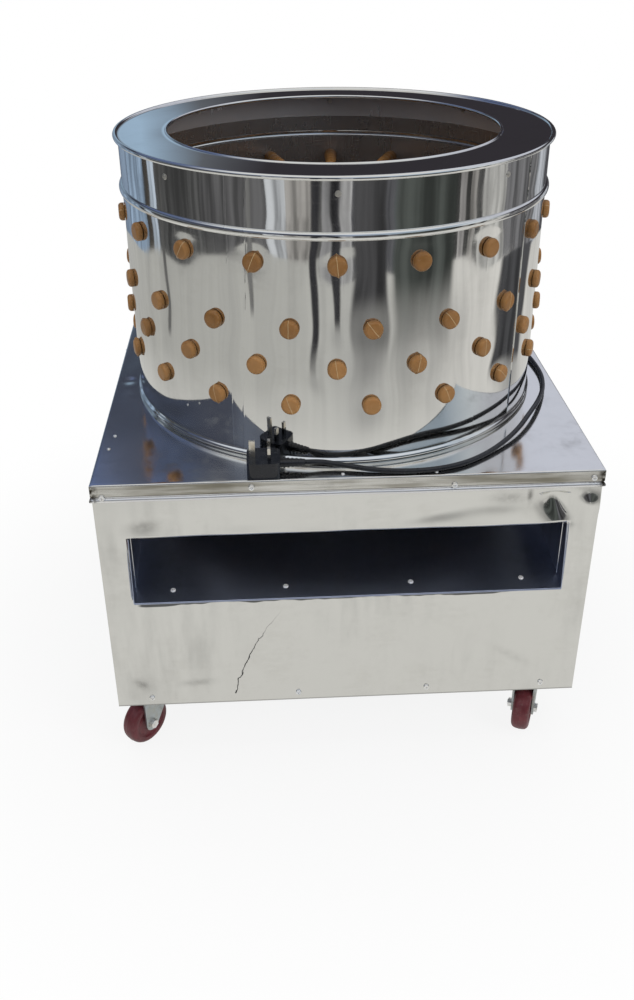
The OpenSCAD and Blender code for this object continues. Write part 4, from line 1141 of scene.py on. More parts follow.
class Wardrobe:
    """All the finishes, made once and handed out by name."""

    def __init__(self) -> None:
        """Build every material."""
        dusty = (0.26, 0.20, 0.18)
        pale = (0.32, 0.31, 0.29)
        jet = (0.006, 0.007, 0.010)
        soot = (0.012, 0.013, 0.017)
        knob = {"dust": 0.08, "rough": 0.25, "scale": 50.0, "grain": 0.05}
        finishes = [
            DrumSheet(),
            PolishedSheet(
                "ring_sheet", rough=0.03, smear=0.10, smear_scale=9.0, dirt=0.06, peel=0.03,
                inner=(0.72, 0.72, 0.75), inner_rough=0.20, inner_haze=0.30, hairs=0.0,
            ),
            DeckSheet(),
            FrontSheet(),
            PolishedSheet("panel_sheet", (0.76, 0.755, 0.725), 0.10, 0.18, 5.0, 0.05, 0.16),
            # Darker, bluish tint: painted shade and painted blue reflection inside the chute.
            PolishedSheet("chute_sheet", (0.43, 0.48, 0.62), 0.34, 0.08, 6.0, 0.04, 0.06),
            PolishedSheet("table_sheet", (0.70, 0.70, 0.68), 0.16, 0.25, 11.0, 0.08, 0.40),
            PolishedSheet("bearing_steel", (0.62, 0.62, 0.62), 0.14, 0.10, 40.0, 0.02, 0.05),
            ZincPlate(),
            ZincPlate("fork_zinc", (0.47, 0.51, 0.53), 0.34, 0.30),
            ZincPlate("screw_zinc", (0.90, 0.92, 0.95), 0.22, 0.35, 0.85),
            RivetZinc(),
            ZincPlate("pin_nickel", (0.80, 0.77, 0.70), 0.22, 0.15),
            PaintedIron(),
            PaintedIron("cast_iron", (0.075, 0.085, 0.095), 0.55, 0.5, 0.5),
            PaintedIron("motor_paint", (0.16, 0.19, 0.22), 0.42, 0.15, 0.2),
            AmberRubber(),
            MouldedPlastic(
                "wheel_tread", (0.115, 0.018, 0.024), (0.175, 0.034, 0.042), dusty,
                dust=0.35, rough=0.42, scale=45.0, grain=0.2,
            ),
            MouldedPlastic(
                "belt_rubber", (0.012, 0.012, 0.012), (0.026, 0.025, 0.024), (0.12, 0.11, 0.10),
                dust=0.5, rough=0.6, scale=60.0, grain=0.4,
            ),
            MouldedPlastic(),
            MouldedPlastic("lead_sheath", jet, soot, rough=0.30, scale=60.0, dust=0.07),
            MouldedPlastic("plug_black", jet, soot, rough=0.24, dust=0.04, grain=0.05),
            MouldedPlastic(
                "grey_plastic", (0.16, 0.17, 0.19), (0.21, 0.22, 0.24), pale,
                dust=0.2, rough=0.5, scale=35.0, grain=0.2,
            ),
            MouldedPlastic("green_plastic", (0.012, 0.15, 0.04), (0.02, 0.20, 0.055), pale, **knob),
            MouldedPlastic("red_plastic", (0.36, 0.012, 0.012), (0.45, 0.025, 0.02), pale, **knob),
        ]
        self.made = {finish.name: finish.make() for finish in finishes}

    def dress(self, piece: Object, finish: str) -> Object:
        """Give a piece one of the finishes.

        Args:
            piece: Mesh or curve object.
            finish: Name of the finish.

        Returns:
            The same piece.
        """
        piece.data.materials.clear()
        piece.data.materials.append(self.made[finish])
        return piece


def note(piece: Object, key: str, numbers: np.ndarray) -> None:
    """Keep one number for each point of a mesh as an attribute that its material reads."""
    layer = piece.data.attributes.new(key, "FLOAT", "POINT")
    layer.data.foreach_set("value", numbers.astype(np.float32))


def settle(piece: Object, body: Body | str, slot: str, *nodes: str) -> Object:
    """Let a piece ride on a body and stand for CAD nodes.

    Args:
        piece: The finished piece.
        body: Body that carries it.
        slot: Material slot of the record; not used.
        nodes: CAD nodes that it stands for.

    Returns:
        The same piece.
    """
    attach(piece, body.value if isinstance(body, Body) else body)
    if nodes:
        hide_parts(*nodes)
    LOG.info("%s: %d points", piece.name, len(piece.data.vertices) if piece.type == "MESH" else 0)
    return piece


@dataclass
class PhotoCamera:
    """Camera of the photograph, from a fit to the cabinet's edges and the drum's rims."""

    place: Triple = (-0.10215, -1.50308, 1.1505)
    yaw: float = 2.880
    pitch: float = 29.481
    roll: float = -0.381
    lens: float = 37.03
    sensor: float = 36.0
    shift_y: float = -0.0291

    def build(self) -> Object:
        """Make the camera: yaw turns it to +X, pitch tips it down and roll tips it about its own axis.

        Returns:
            The camera object.
        """
        yaw, pitch, roll = (math.radians(a) for a in (self.yaw, self.pitch, self.roll))
        ahead = np.array([math.sin(yaw), math.cos(yaw), 0.0])
        right = np.array([math.cos(yaw), -math.sin(yaw), 0.0])
        up = np.array([0.0, 0.0, 1.0])
        view = math.cos(pitch) * ahead - math.sin(pitch) * up
        above = math.sin(pitch) * ahead + math.cos(pitch) * up
        side = right * math.cos(roll) + above * math.sin(roll)
        top = above * math.cos(roll) - right * math.sin(roll)
        data = bpy.data.cameras.new("photo_camera")
        data.lens = self.lens
        data.sensor_width = self.sensor
        data.shift_y = self.shift_y
        data.clip_start = 0.05
        made = link(bpy.data.objects.new("photo_camera", data))
        turn_object(made, [side, top, -view], self.place)
        bpy.context.scene.camera = made
        return made


@dataclass
class MainsLead:
    """Round black lead from the switch box's gland, round the drum on the deck, to the plug."""

    diameter: float = 7.0
    steps: int = 6
    route: tuple[Triple, ...] = (
        (-236, 320, 16), (-212, 320, 16), (-186, 321, 14), (-156, 321, 9), (-124, 322, 5), (-90, 322, 4),
        (-50, 322, 4), (-10, 322, 4), (32, 321, 4), (74, 314, 4), (114, 302, 4), (152, 285, 4),
        (188, 263, 4), (220, 236, 4), (249, 205, 4), (275, 169, 4), (295, 131, 4), (310, 90, 4),
        (320, 48, 4), (325, 5, 4), (325, -40, 4), (318, -80, 5), (306, -118, 8), (290, -155, 11),
        (270, -192, 12), (246, -230, 9), (218, -264, 6), (186, -294, 4), (152, -317, 4), (114, -330, 4),
        (74, -333, 4), (34, -327, 4), (-4, -317, 6), (-34, -311, 9), (-58, -313, 11),
    )

    def path(self) -> np.ndarray:
        """Catmull-Rom curve through the route: cubics blend each span's two ends and their neighbours.

        Returns:
            Points along the lead in millimetres.
        """
        p = np.array(self.route, float) + np.array([0.0, 0.0, DECK])
        before = np.concatenate([p[:1], p[:-2]])
        after = np.concatenate([p[2:], p[-1:]])
        a, b, c, d = (q[:, None, :] for q in (before, p[:-1], p[1:], after))
        t = (np.arange(self.steps) / self.steps)[None, :, None]
        square = (2 * a - 5 * b + 4 * c - d) * t**2
        cube = (3 * b - a - 3 * c + d) * t**3
        spans = 0.5 * (2 * b + (c - a) * t + square + cube)
        return np.concatenate([spans.reshape(-1, 3), p[-1:]])

    def build(self, wardrobe: Wardrobe, nodes: dict[str, Object]) -> Object:
        """Args:
            wardrobe: Finishes.
            nodes: CAD objects by name; not used.

        Returns:
            The lead.
        """
        points = self.path() * MM
        curve = bpy.data.curves.new("mains_lead", "CURVE")
        curve.dimensions = "3D"
        curve.bevel_depth = self.diameter * MM / 2
        curve.bevel_resolution = 5
        curve.use_fill_caps = True
        spline = curve.splines.new("POLY")
        spline.points.add(len(points) - 1)
        spline.points.foreach_set("co", np.c_[points, np.ones(len(points))].ravel())
        spline.use_smooth = True
        lead = link(bpy.data.objects.new("mains_lead", curve))
        wardrobe.dress(lead, "lead_sheath")
        settle(lead, Body.CABINET, "black_plastic", "power_lead")
        return lead


@dataclass(frozen=True)
class Wave:
    """One sine ripple of a sheet: height in millimetres, rates along two ways, and phase."""

    height: float
    first: float
    second: float = 0.0
    phase: float = 0.0

    def lift(self, a: np.ndarray, b: np.ndarray | float = 0.0) -> np.ndarray:
        """Height times the sine of each way times its rate, plus the phase."""
        return self.height * np.sin(self.first * a + self.second * b + self.phase)


@dataclass
class Drum:
    """Drum wall with its rolled beads, and the ring on its top.

    Waves of the wall run by angle and by share of its height, those of the ring by angle alone.
    """

    radius: float = 302.0
    sheet: float = 1.2
    wall_top: float = 859.2
    bead_z: float = 790.0
    bead_out: float = 4.2
    bead_half: float = 5.6
    foot_z: float = 485.0
    foot_out: float = 3.3
    foot_half: float = 6.0
    rim_r: float = 305.4
    rim_z: float = 859.8
    rim_roll: float = 3.2
    hem_r: float = 235.2
    hem_roll: float = 2.2
    skirt_low: float = 817.8
    seam: float = 52.6
    lap: float = 0.9
    lap_fade: float = 5.0
    tuck: float = 0.25
    tuck_fade: float = 3.0
    pull: float = 0.45
    pull_half: float = 20.0
    wave_span: float = 380.0
    bead_calm: float = 26.0
    foot_calm: float = 20.0
    top_calm: float = 30.0
    segments: int = 320
    wall_waves: tuple[Wave, ...] = (
        Wave(0.16, 6.0, 1.5, 1.1), Wave(0.10, 11.0, -3.0, -0.4), Wave(0.055, 19.0, 4.0, 2.0),
        Wave(0.035, 31.0, 5.0), Wave(0.13, 3.0, 11.0, 0.5), Wave(0.05, -7.0, 23.0),
    )
    ring_waves: tuple[Wave, ...] = (
        Wave(0.30, 4.0, phase=0.6), Wave(0.16, 9.0, phase=2.1), Wave(0.08, 17.0),
    )

    def build(self, wardrobe: Wardrobe, fingers: Fingers) -> None:
        """Make the wall and the top ring.

        Args:
            wardrobe: Finishes.
            fingers: Fingers whose heads pull at the wall.
        """
        shell = self.wall(fingers)
        wall = wardrobe.dress(shell.piece("drum_wall", sharp=50.0), "drum_sheet")
        # The inner side takes the painted shade, except on the bead, which keeps most of its polish.
        inner = np.arange(len(shell.points)) >= len(shell.points) // 2
        on_bead = np.abs(shell.points[:, 2] - self.bead_z) < 0.7 * self.bead_half
        note(wall, "inside", np.where(on_bead, 0.2, 1.0) * inner)
        settle(wall, Body.CABINET, "polished_steel", "drum_shell")
        top = self.ring()
        ring = wardrobe.dress(top.piece("drum_ring", sharp=50.0), "ring_sheet")
        r = np.hypot(top.points[:, 0], top.points[:, 1])
        under = (r > self.hem_r + 4.0) & (r < self.radius - 0.8) & (top.points[:, 2] < self.rim_z - 0.3)
        note(ring, "inside", under)
        settle(ring, Body.CABINET, "polished_steel", "top_ring")

    def wall(self, fingers: Fingers) -> Surface:
        """Wall as radius over height and angle: plain radius, round bead, cosine foot and slow ripples.

        Args:
            fingers: Fingers whose heads pull at the wall.

        Returns:
            The closed shell, outside and inside.
        """
        foot = np.linspace(DECK, self.foot_z + self.foot_half, 14)
        low = np.linspace(self.foot_z + self.foot_half, self.bead_z - self.bead_half, 62)[1:]
        bead = self.bead_z + self.bead_half * np.sin(np.linspace(-np.pi / 2, np.pi / 2, 21))[1:]
        high = np.linspace(self.bead_z + self.bead_half, self.wall_top, 14)[1:]
        z = np.concatenate([foot, low, bead, high])
        a = self.turns()
        t = np.clip((z - self.bead_z) / self.bead_half, -1.0, 1.0)
        out = self.radius + self.bead_out * np.sqrt(1.0 - t**2)
        out += self.foot_out * bump((z - self.foot_z) / self.foot_half)
        shell = out[:, None] + self.ripple(a[None, :], z[:, None], fingers)
        rows = np.concatenate([shell, shell[::-1] - self.sheet])
        heights = np.concatenate([z, z[::-1]])[:, None] + 0.0 * a
        points = np.stack([rows * np.sin(a), -rows * np.cos(a), heights], axis=-1)
        return Surface(points.reshape(-1, 3), grid_quads(len(rows), len(a), True, True)).outward()

    def turns(self) -> np.ndarray:
        """Angles of the wall's columns: even steps, and close ones at the lap seam.

        Returns:
            Angles from -Y towards +X, rising.
        """
        even = np.linspace(0.0, 2.0 * np.pi, self.segments, endpoint=False)
        close = np.radians(self.seam + np.array([-0.6, -0.25, -0.06, 0.0, 0.08, 0.3, 0.6]))
        return np.unique(np.concatenate([even, close]))

    def ripple(self, a: np.ndarray, z: np.ndarray, fingers: Fingers) -> np.ndarray:
        """Slow waves of rolled sheet, a dimple round each finger and the lap seam, calm at beads and ends.

        The lap lifts the sheet at the seam and lets it back down over a few degrees. The sheet before the
        seam is tucked in.

        Args:
            a: Angles from -Y towards +X.
            z: Heights.
            fingers: Fingers whose heads pull at the wall.

        Returns:
            Radial shift in millimetres.
        """
        share = (z - DECK) / self.wave_span
        waves = sum(wave.lift(a, share) for wave in self.wall_waves)
        turns, heights = fingers.wall_places()
        across = (a[..., None] - turns + np.pi) % (2.0 * np.pi) - np.pi
        far = (across * self.radius) ** 2 + (z[..., None] - heights) ** 2
        pull = -self.pull * np.exp(-far / (2.0 * self.pull_half**2)).sum(axis=-1)
        past = np.degrees((a - math.radians(self.seam) + np.pi) % (2.0 * np.pi) - np.pi)
        over = self.lap * np.exp(-np.abs(past) / self.lap_fade)
        tucked = -self.tuck * np.exp(-np.abs(past) / self.tuck_fade)
        lifted = np.where(past >= -1e-6, over, tucked)
        at_bead = bump((z - self.bead_z) / self.bead_calm)
        at_foot = bump((z - self.foot_z) / self.foot_calm)
        calm = 1.0 - np.maximum(at_bead, at_foot)
        top = np.clip((self.wall_top - z) / self.top_calm, 0.0, 1.0)
        low = np.clip((z - DECK) / self.foot_calm, 0.0, 1.0)
        return (waves + pull + lifted) * calm * top * low

    def ring(self) -> Surface:
        """Top ring as a closed loop carried round: hem, flat, rolled rim, underside and inner skirt.

        Returns:
            The closed ring.
        """
        top = self.rim_z + self.sheet / 2
        under = self.rim_z - self.sheet / 2
        skirt = self.radius - self.sheet - 0.2
        hem = arc((self.hem_r, self.rim_z), self.hem_roll, 285.0, 20.0, 18)
        flat_r = np.linspace(self.hem_r + self.hem_roll + 0.6, self.rim_r - self.rim_roll - 0.6, 16)
        flat = np.stack([flat_r, np.full_like(flat_r, top)], axis=1)
        rim = arc((self.rim_r, self.rim_z), self.rim_roll, 165.0, -165.0, 24)
        skirt_z = np.linspace(under, self.skirt_low, 8)
        outer = np.stack([np.full_like(skirt_z, skirt), skirt_z], axis=1)
        inner = np.stack([np.full_like(skirt_z, skirt - self.sheet), skirt_z[::-1]], axis=1)
        low_r = np.linspace(skirt - self.sheet - 1.0, self.hem_r + 1.5, 8)
        low = np.stack([low_r, np.full_like(low_r, under)], axis=1)
        made = revolve(np.concatenate([hem, flat, rim, outer, inner, low]), self.segments)
        return Surface(self.sag(made.points), made.quads, made.tris)

    def sag(self, points: np.ndarray) -> np.ndarray:
        """Slow waves in the flat of the ring, zero at the hem and at the rim.

        Args:
            points: Points of the plain ring.

        Returns:
            Points with their heights shifted.
        """
        r = np.hypot(points[:, 0], points[:, 1])
        a = np.arctan2(points[:, 0], -points[:, 1])
        span = np.clip((r - self.hem_r) / (self.rim_r - self.hem_r), 0.0, 1.0)
        flat = np.sin(np.pi * span) * (points[:, 2] > self.rim_z - 2.0)
        lift = sum(wave.lift(a) for wave in self.ring_waves)
        return points + np.stack([0.0 * r, 0.0 * r, lift * flat], axis=1)


@dataclass
class Fingers:
    """Rubber fingers of the wall and the turntable, with mould flash across their heads."""

    rows: tuple[float, ...] = (274.0, 191.0, 138.0, 86.0)
    per_row: int = 18
    row_turn: float = -2.9
    row_skew: float = -1.4
    wall_r: float = 302.0
    wall_t: float = 1.2
    head_d: float = 25.0
    head_t: float = 8.0
    crown: float = 4.6
    neck_d: float = 18.0
    root_d: float = 21.0
    tip_d: float = 16.0
    wall_len: float = 84.0
    table_len: float = 72.0
    ribs: int = 5
    rib_depth: float = 1.25
    tip_round: float = 4.0
    rings: tuple[tuple[float, int], ...] = ((235.0, 16), (160.0, 11), (86.0, 6))
    table_low: float = 473.0
    table_t: float = 3.0
    # Wall fingers below this height get a paler tone: painted light.
    lit_from: float = 754.0
    lit_span: float = 190.0
    flash_share: float = 0.55
    tab_most: float = 1.8
    segments: int = 28
    seed: int = 19

    def wall_places(self, chosen: tuple[int, ...] = (0, 1, 2, 3)) -> tuple[np.ndarray, np.ndarray]:
        """Angles and heights of the wall fingers, every second row turned by half a pitch.

        Args:
            chosen: Rows to list, counted from the top.

        Returns:
            Angles in radians from -Y towards +X, and heights in millimetres.
        """
        pitch = 360.0 / self.per_row
        k = np.arange(self.per_row)
        shifted = pitch / 2 + self.row_skew
        turns = [np.radians(self.row_turn + (i % 2) * shifted + k * pitch) for i in chosen]
        heights = [np.full(self.per_row, DECK + self.rows[i]) for i in chosen]
        return np.concatenate(turns), np.concatenate(heights)

    def finger(self, through: float, length: float) -> Surface:
        """One finger along +Z: domed head below zero, neck, and a ribbed body that tapers to a round tip.

        The profile is a shallow dome, a quarter circle at the head's edge, its seat and neck, then a
        straight taper minus a cosine groove for each rib, and a round end.

        Args:
            through: Thickness of the sheet in its neck.
            length: Length of its body.

        Returns:
            The finger, its head's middle at x = y = 0.
        """
        head, neck = self.head_d / 2, self.neck_d / 2
        root, tip = self.root_d / 2, self.tip_d / 2
        body = through + 0.3
        face_r = np.array([0.0, 0.25, 0.5, 0.75]) * (head - self.crown)
        face = np.stack([face_r, -self.head_t - 0.35 * (1.0 - (face_r / head) ** 2)], axis=1)
        edge = arc((head - self.crown, -self.head_t + self.crown - 0.2), self.crown, -88.0, 0.0, 8)
        under = np.array([[head, -0.5], [head - 0.2, -0.05], [neck, -0.05]])
        seat = np.concatenate([under, [[neck, body], [root - 0.6, body + 0.6]]])
        t = np.linspace(0.0, 1.0, self.ribs * 6 + 1)
        taper = root + (tip - root) * t
        groove = self.rib_depth * np.clip(np.cos(2.0 * np.pi * self.ribs * t), 0.0, 1.0) ** 1.5
        shaft = np.stack([taper - groove, body + 4.0 + (length - 9.0) * t], axis=1)
        end = arc((tip - self.tip_round, body + length - self.tip_round), self.tip_round, 10.0, 90.0, 6)
        close = np.array([[0.0, body + length]])
        return lathe(np.concatenate([face, edge, seat, shaft, end, close]), self.segments)

    def build(self, wardrobe: Wardrobe) -> None:
        """Make the two groups of wall fingers and the turntable's fingers.

        Args:
            wardrobe: Finishes.
        """
        dice = np.random.default_rng(self.seed)
        shape = self.finger(self.wall_t, self.wall_len)
        for node, chosen in (("wall_fingers_upper", (0, 1)), ("wall_fingers_lower", (2, 3))):
            turns, heights = self.wall_places(chosen)
            spin = dice.normal(0.0, 0.8, len(turns)) + 0.4
            inward = np.stack([-np.sin(turns), np.cos(turns), 0.0 * turns], axis=1)
            along = np.stack([np.cos(turns), np.sin(turns), 0.0 * turns], axis=1)
            up = np.tile([0.0, 0.0, 1.0], (len(turns), 1))
            x_axis = along * np.cos(spin)[:, None] + up * np.sin(spin)[:, None]
            frames = np.stack([x_axis, np.cross(inward, x_axis), inward], axis=2)
            places = np.stack([self.wall_r * np.sin(turns), -self.wall_r * np.cos(turns), heights], axis=1)
            self.plant(node, shape, frames, places, dice, wardrobe, Body.CABINET)
        shape = self.finger(self.table_t, self.table_len)
        angles = np.concatenate([np.arange(n) * 2.0 * np.pi / n for _, n in self.rings])
        radii = np.concatenate([np.full(n, r) for r, n in self.rings])
        frames = np.stack([turn_z(np.degrees(a)) for a in angles])
        low = np.full(len(radii), self.table_low)
        places = np.stack([radii * np.cos(angles), radii * np.sin(angles), low], axis=1)
        self.plant("turntable_fingers", shape, frames, places, dice, wardrobe, Body.TURNTABLE)

    def plant(
        self, node: str, shape: Surface, frames: np.ndarray, places: np.ndarray,
        dice: np.random.Generator, wardrobe: Wardrobe, body: Body,
    ) -> None:
        """Put a set of fingers into the scene, with small tabs of flash on some heads.

        A tab moves the head's edge points that lie on the parting plane outwards by its length. Lower
        fingers of the wall get a paler tone, which is painted light.

        Args:
            node: CAD node that the set stands for.
            shape: One finger.
            frames: Turn of each finger.
            places: Place of each finger.
            dice: Seeded random numbers.
            wardrobe: Finishes.
            body: Body that carries the set.
        """
        count = len(frames)
        local = shape.points
        radius = np.hypot(local[:, 0], local[:, 1])
        on_head = local[:, 2] < -0.6
        at_edge = on_head & (np.abs(local[:, 0]) < 0.4) & (radius > self.head_d / 2 - 0.6)
        flashed = (dice.uniform(0.0, 1.0, count) < self.flash_share).astype(float)
        tabs = flashed * dice.uniform(0.0, self.tab_most, count)
        tab = np.stack([0.0 * radius, np.sign(local[:, 1]) * at_edge, 0.0 * radius], axis=1)
        made = shape.copies(frames, places)
        shift = np.einsum("kij,nj->kni", frames, tab) * tabs[:, None, None]
        made = Surface(made.points + shift.reshape(-1, 3), made.quads, made.tris)
        piece = wardrobe.dress(made.piece(node + "_rubber", sharp=60.0), "finger_rubber")
        # Painted light: the lower wall fingers' tone rises towards the pale end.
        low = np.clip((self.lit_from - places[:, 2]) / self.lit_span, 0.0, 1.0)
        tones = 0.7 * dice.uniform(0.15, 0.75, count) + 0.32 * low * (body is Body.CABINET)
        values = {
            "tone": np.repeat(tones, len(local)),
            "across": np.tile(local[:, 0], count),
            "flash": np.repeat(flashed, len(local)) * np.tile(on_head, count),
        }
        for key, numbers in values.items():
            note(piece, key, numbers)
        settle(piece, body, "finger_rubber", node)


@dataclass
class Deck:
    """Square deck with a round hole, its edges folded down into a lip with a rolled hem."""

    hole_r: float = 296.8
    sheet: float = 1.2
    lip: float = 27.0
    fold: float = 1.8
    hem: float = 3.3
    per_side: int = 96
    screws: tuple[tuple[float, float], ...] = (
        (-322.0, -200.0), (-326.0, -239.0), (-9.0, -329.0), (115.0, -331.0),
    )
    dent_x: float = -322.0
    dent_y: float = -13.0
    dent_half: float = 8.0
    dent_depth: float = 1.1
    sways: tuple[Wave, ...] = (Wave(0.30, 1.0 / 61.0), Wave(0.18, 1.0 / 23.0, phase=1.0))

    def build(self, wardrobe: Wardrobe) -> None:
        """Make the deck sheet and the small screws on it.

        Args:
            wardrobe: Finishes.
        """
        deck = wardrobe.dress(self.sheet_surface().piece("deck_sheet", sharp=60.0), "deck_sheet")
        settle(deck, Body.CABINET, "polished_steel", "deck_plate")
        crown = np.array([[0.0, 1.5], [1.0, 1.42], [2.0, 1.05], [2.7, 0.35]])
        foot = np.array([[2.8, -0.4], [0.0, -0.4]])
        dome = lathe(np.concatenate([crown, foot]), 16)
        heads = dome.repeated(np.array([[x, y, DECK] for x, y in self.screws]))
        piece = wardrobe.dress(heads.piece("deck_tacks", sharp=40.0), "screw_zinc")
        settle(piece, Body.CABINET, "zinc")

    def sheet_surface(self) -> Surface:
        """Deck as rings from the hole to the edge: a circle blends into squares that fold down and curl.

        Each ring is a square of its own half width at its own height; the top rings mix the circle and
        the square.

        Returns:
            The closed sheet, its upper side and its under side.
        """
        a = np.arctan2(*self.square_turns())
        out = np.stack([np.sin(a), -np.cos(a)], axis=1)
        circle = out * self.hole_r
        square = out / np.abs(out).max(axis=1, keepdims=True)
        share = np.linspace(0.0, 1.0, 26)[:, None, None]
        flat_half = HALF - self.fold
        top = circle[None] * (1.0 - share) + square[None] * flat_half * share
        top_z = DECK + self.waves(top[..., 0], top[..., 1], share[..., 0])
        folded = self.lip_line(flat_half)
        skirt = square[None] * folded[:, :1, None]
        drop = np.clip((DECK - 6.0 - folded[:, 1]) / 12.0, 0.0, 1.0)
        run = square[:, 0] * HALF + 1.7 * square[:, 1] * HALF
        sway = sum(wave.lift(run) for wave in self.sways)
        skirt_z = folded[:, 1:] + drop[:, None] * sway
        back = top[::-1]
        rings = np.concatenate([top, skirt, back])
        heights = np.concatenate([top_z, skirt_z, top_z[::-1] - self.sheet])
        points = np.concatenate([rings, heights[..., None]], axis=-1)
        return Surface(points.reshape(-1, 3), grid_quads(len(rings), len(a), True, True)).outward()

    def lip_line(self, flat_half: float) -> np.ndarray:
        """Section of the lip: quarter-circle fold, flat band, narrow groove, rolled hem and inner face.

        Args:
            flat_half: Half width where the fold starts.

        Returns:
            Points of half width and height, from the deck's edge round to under the deck.
        """
        low = DECK - self.lip
        bend = arc((flat_half, DECK - self.fold), self.fold, 90.0, 0.0, 7)[1:]
        band_z = np.linspace(DECK - self.fold - 1.5, low + 10.0, 6)
        band = np.stack([np.full_like(band_z, HALF), band_z], axis=1)
        groove = np.array([[HALF - 0.15, low + 9.5], [HALF - 0.9, low + 9.1], [HALF - 0.9, low + 8.3]])
        hem = arc((HALF - 1.7, low + 4.2), self.hem, 78.0, -110.0, 14)
        inner_z = np.linspace(low + 2.5, DECK - self.sheet, 8)
        inner = np.stack([np.full_like(inner_z, HALF - self.sheet), inner_z], axis=1)
        inner[0, 0] -= 1.9
        return np.concatenate([bend, band, groove, hem, inner])

    def square_turns(self) -> tuple[np.ndarray, np.ndarray]:
        """Even steps along the four edges of a square, starting in the middle of the front edge.

        Returns:
            x and -y of each step, on a square of half width one.
        """
        t = np.linspace(-1.0, 1.0, self.per_side, endpoint=False)
        one = np.ones_like(t)
        x = np.concatenate([t, one, -t, -one])
        front = np.concatenate([one, -t, -one, t])
        return x, front

    def waves(self, x: np.ndarray, y: np.ndarray, share: np.ndarray) -> np.ndarray:
        """Shallow buckles of the deck, zero at the hole and at the edge, and one dent at the left.

        Args:
            x: Places across.
            y: Places from front to rear.
            share: Share of the way from the hole to the edge.

        Returns:
            Shift of the height in millimetres.
        """
        buckle = 0.35 * np.sin(x / 62.0 + 0.4) * np.cos(y / 71.0) + 0.15 * np.sin(x / 27.0 - y / 33.0)
        far = (x - self.dent_x) ** 2 + (y - self.dent_y) ** 2
        dent = -self.dent_depth * np.exp(-far / (2.0 * self.dent_half**2))
        return (buckle + dent) * np.sin(np.pi * share)


@dataclass(frozen=True)
class Dent:
    """A dent of the front panel: its middle, half length, half width and lean in degrees.

    It stands out by a depth, or goes in if that is negative, and its far end is steeper by the skew.
    """

    x: float
    z: float
    long: float
    wide: float
    lean: float
    out: float
    skew: float = 1.0

    def height(self, x: np.ndarray, z: np.ndarray) -> np.ndarray:
        """Turned Gaussian: its depth times e to the power of minus the squared distance in half widths.

        Args:
            x: Places across.
            z: Heights.

        Returns:
            How far the sheet stands out.
        """
        a = math.radians(self.lean)
        u = (x - self.x) * math.cos(a) + (z - self.z) * math.sin(a)
        u = np.where(u > 0.0, self.skew * u, u)
        v = (z - self.z) * math.cos(a) - (x - self.x) * math.sin(a)
        return self.out * np.exp(-((u / self.long) ** 2) - ((v / self.wide) ** 2))


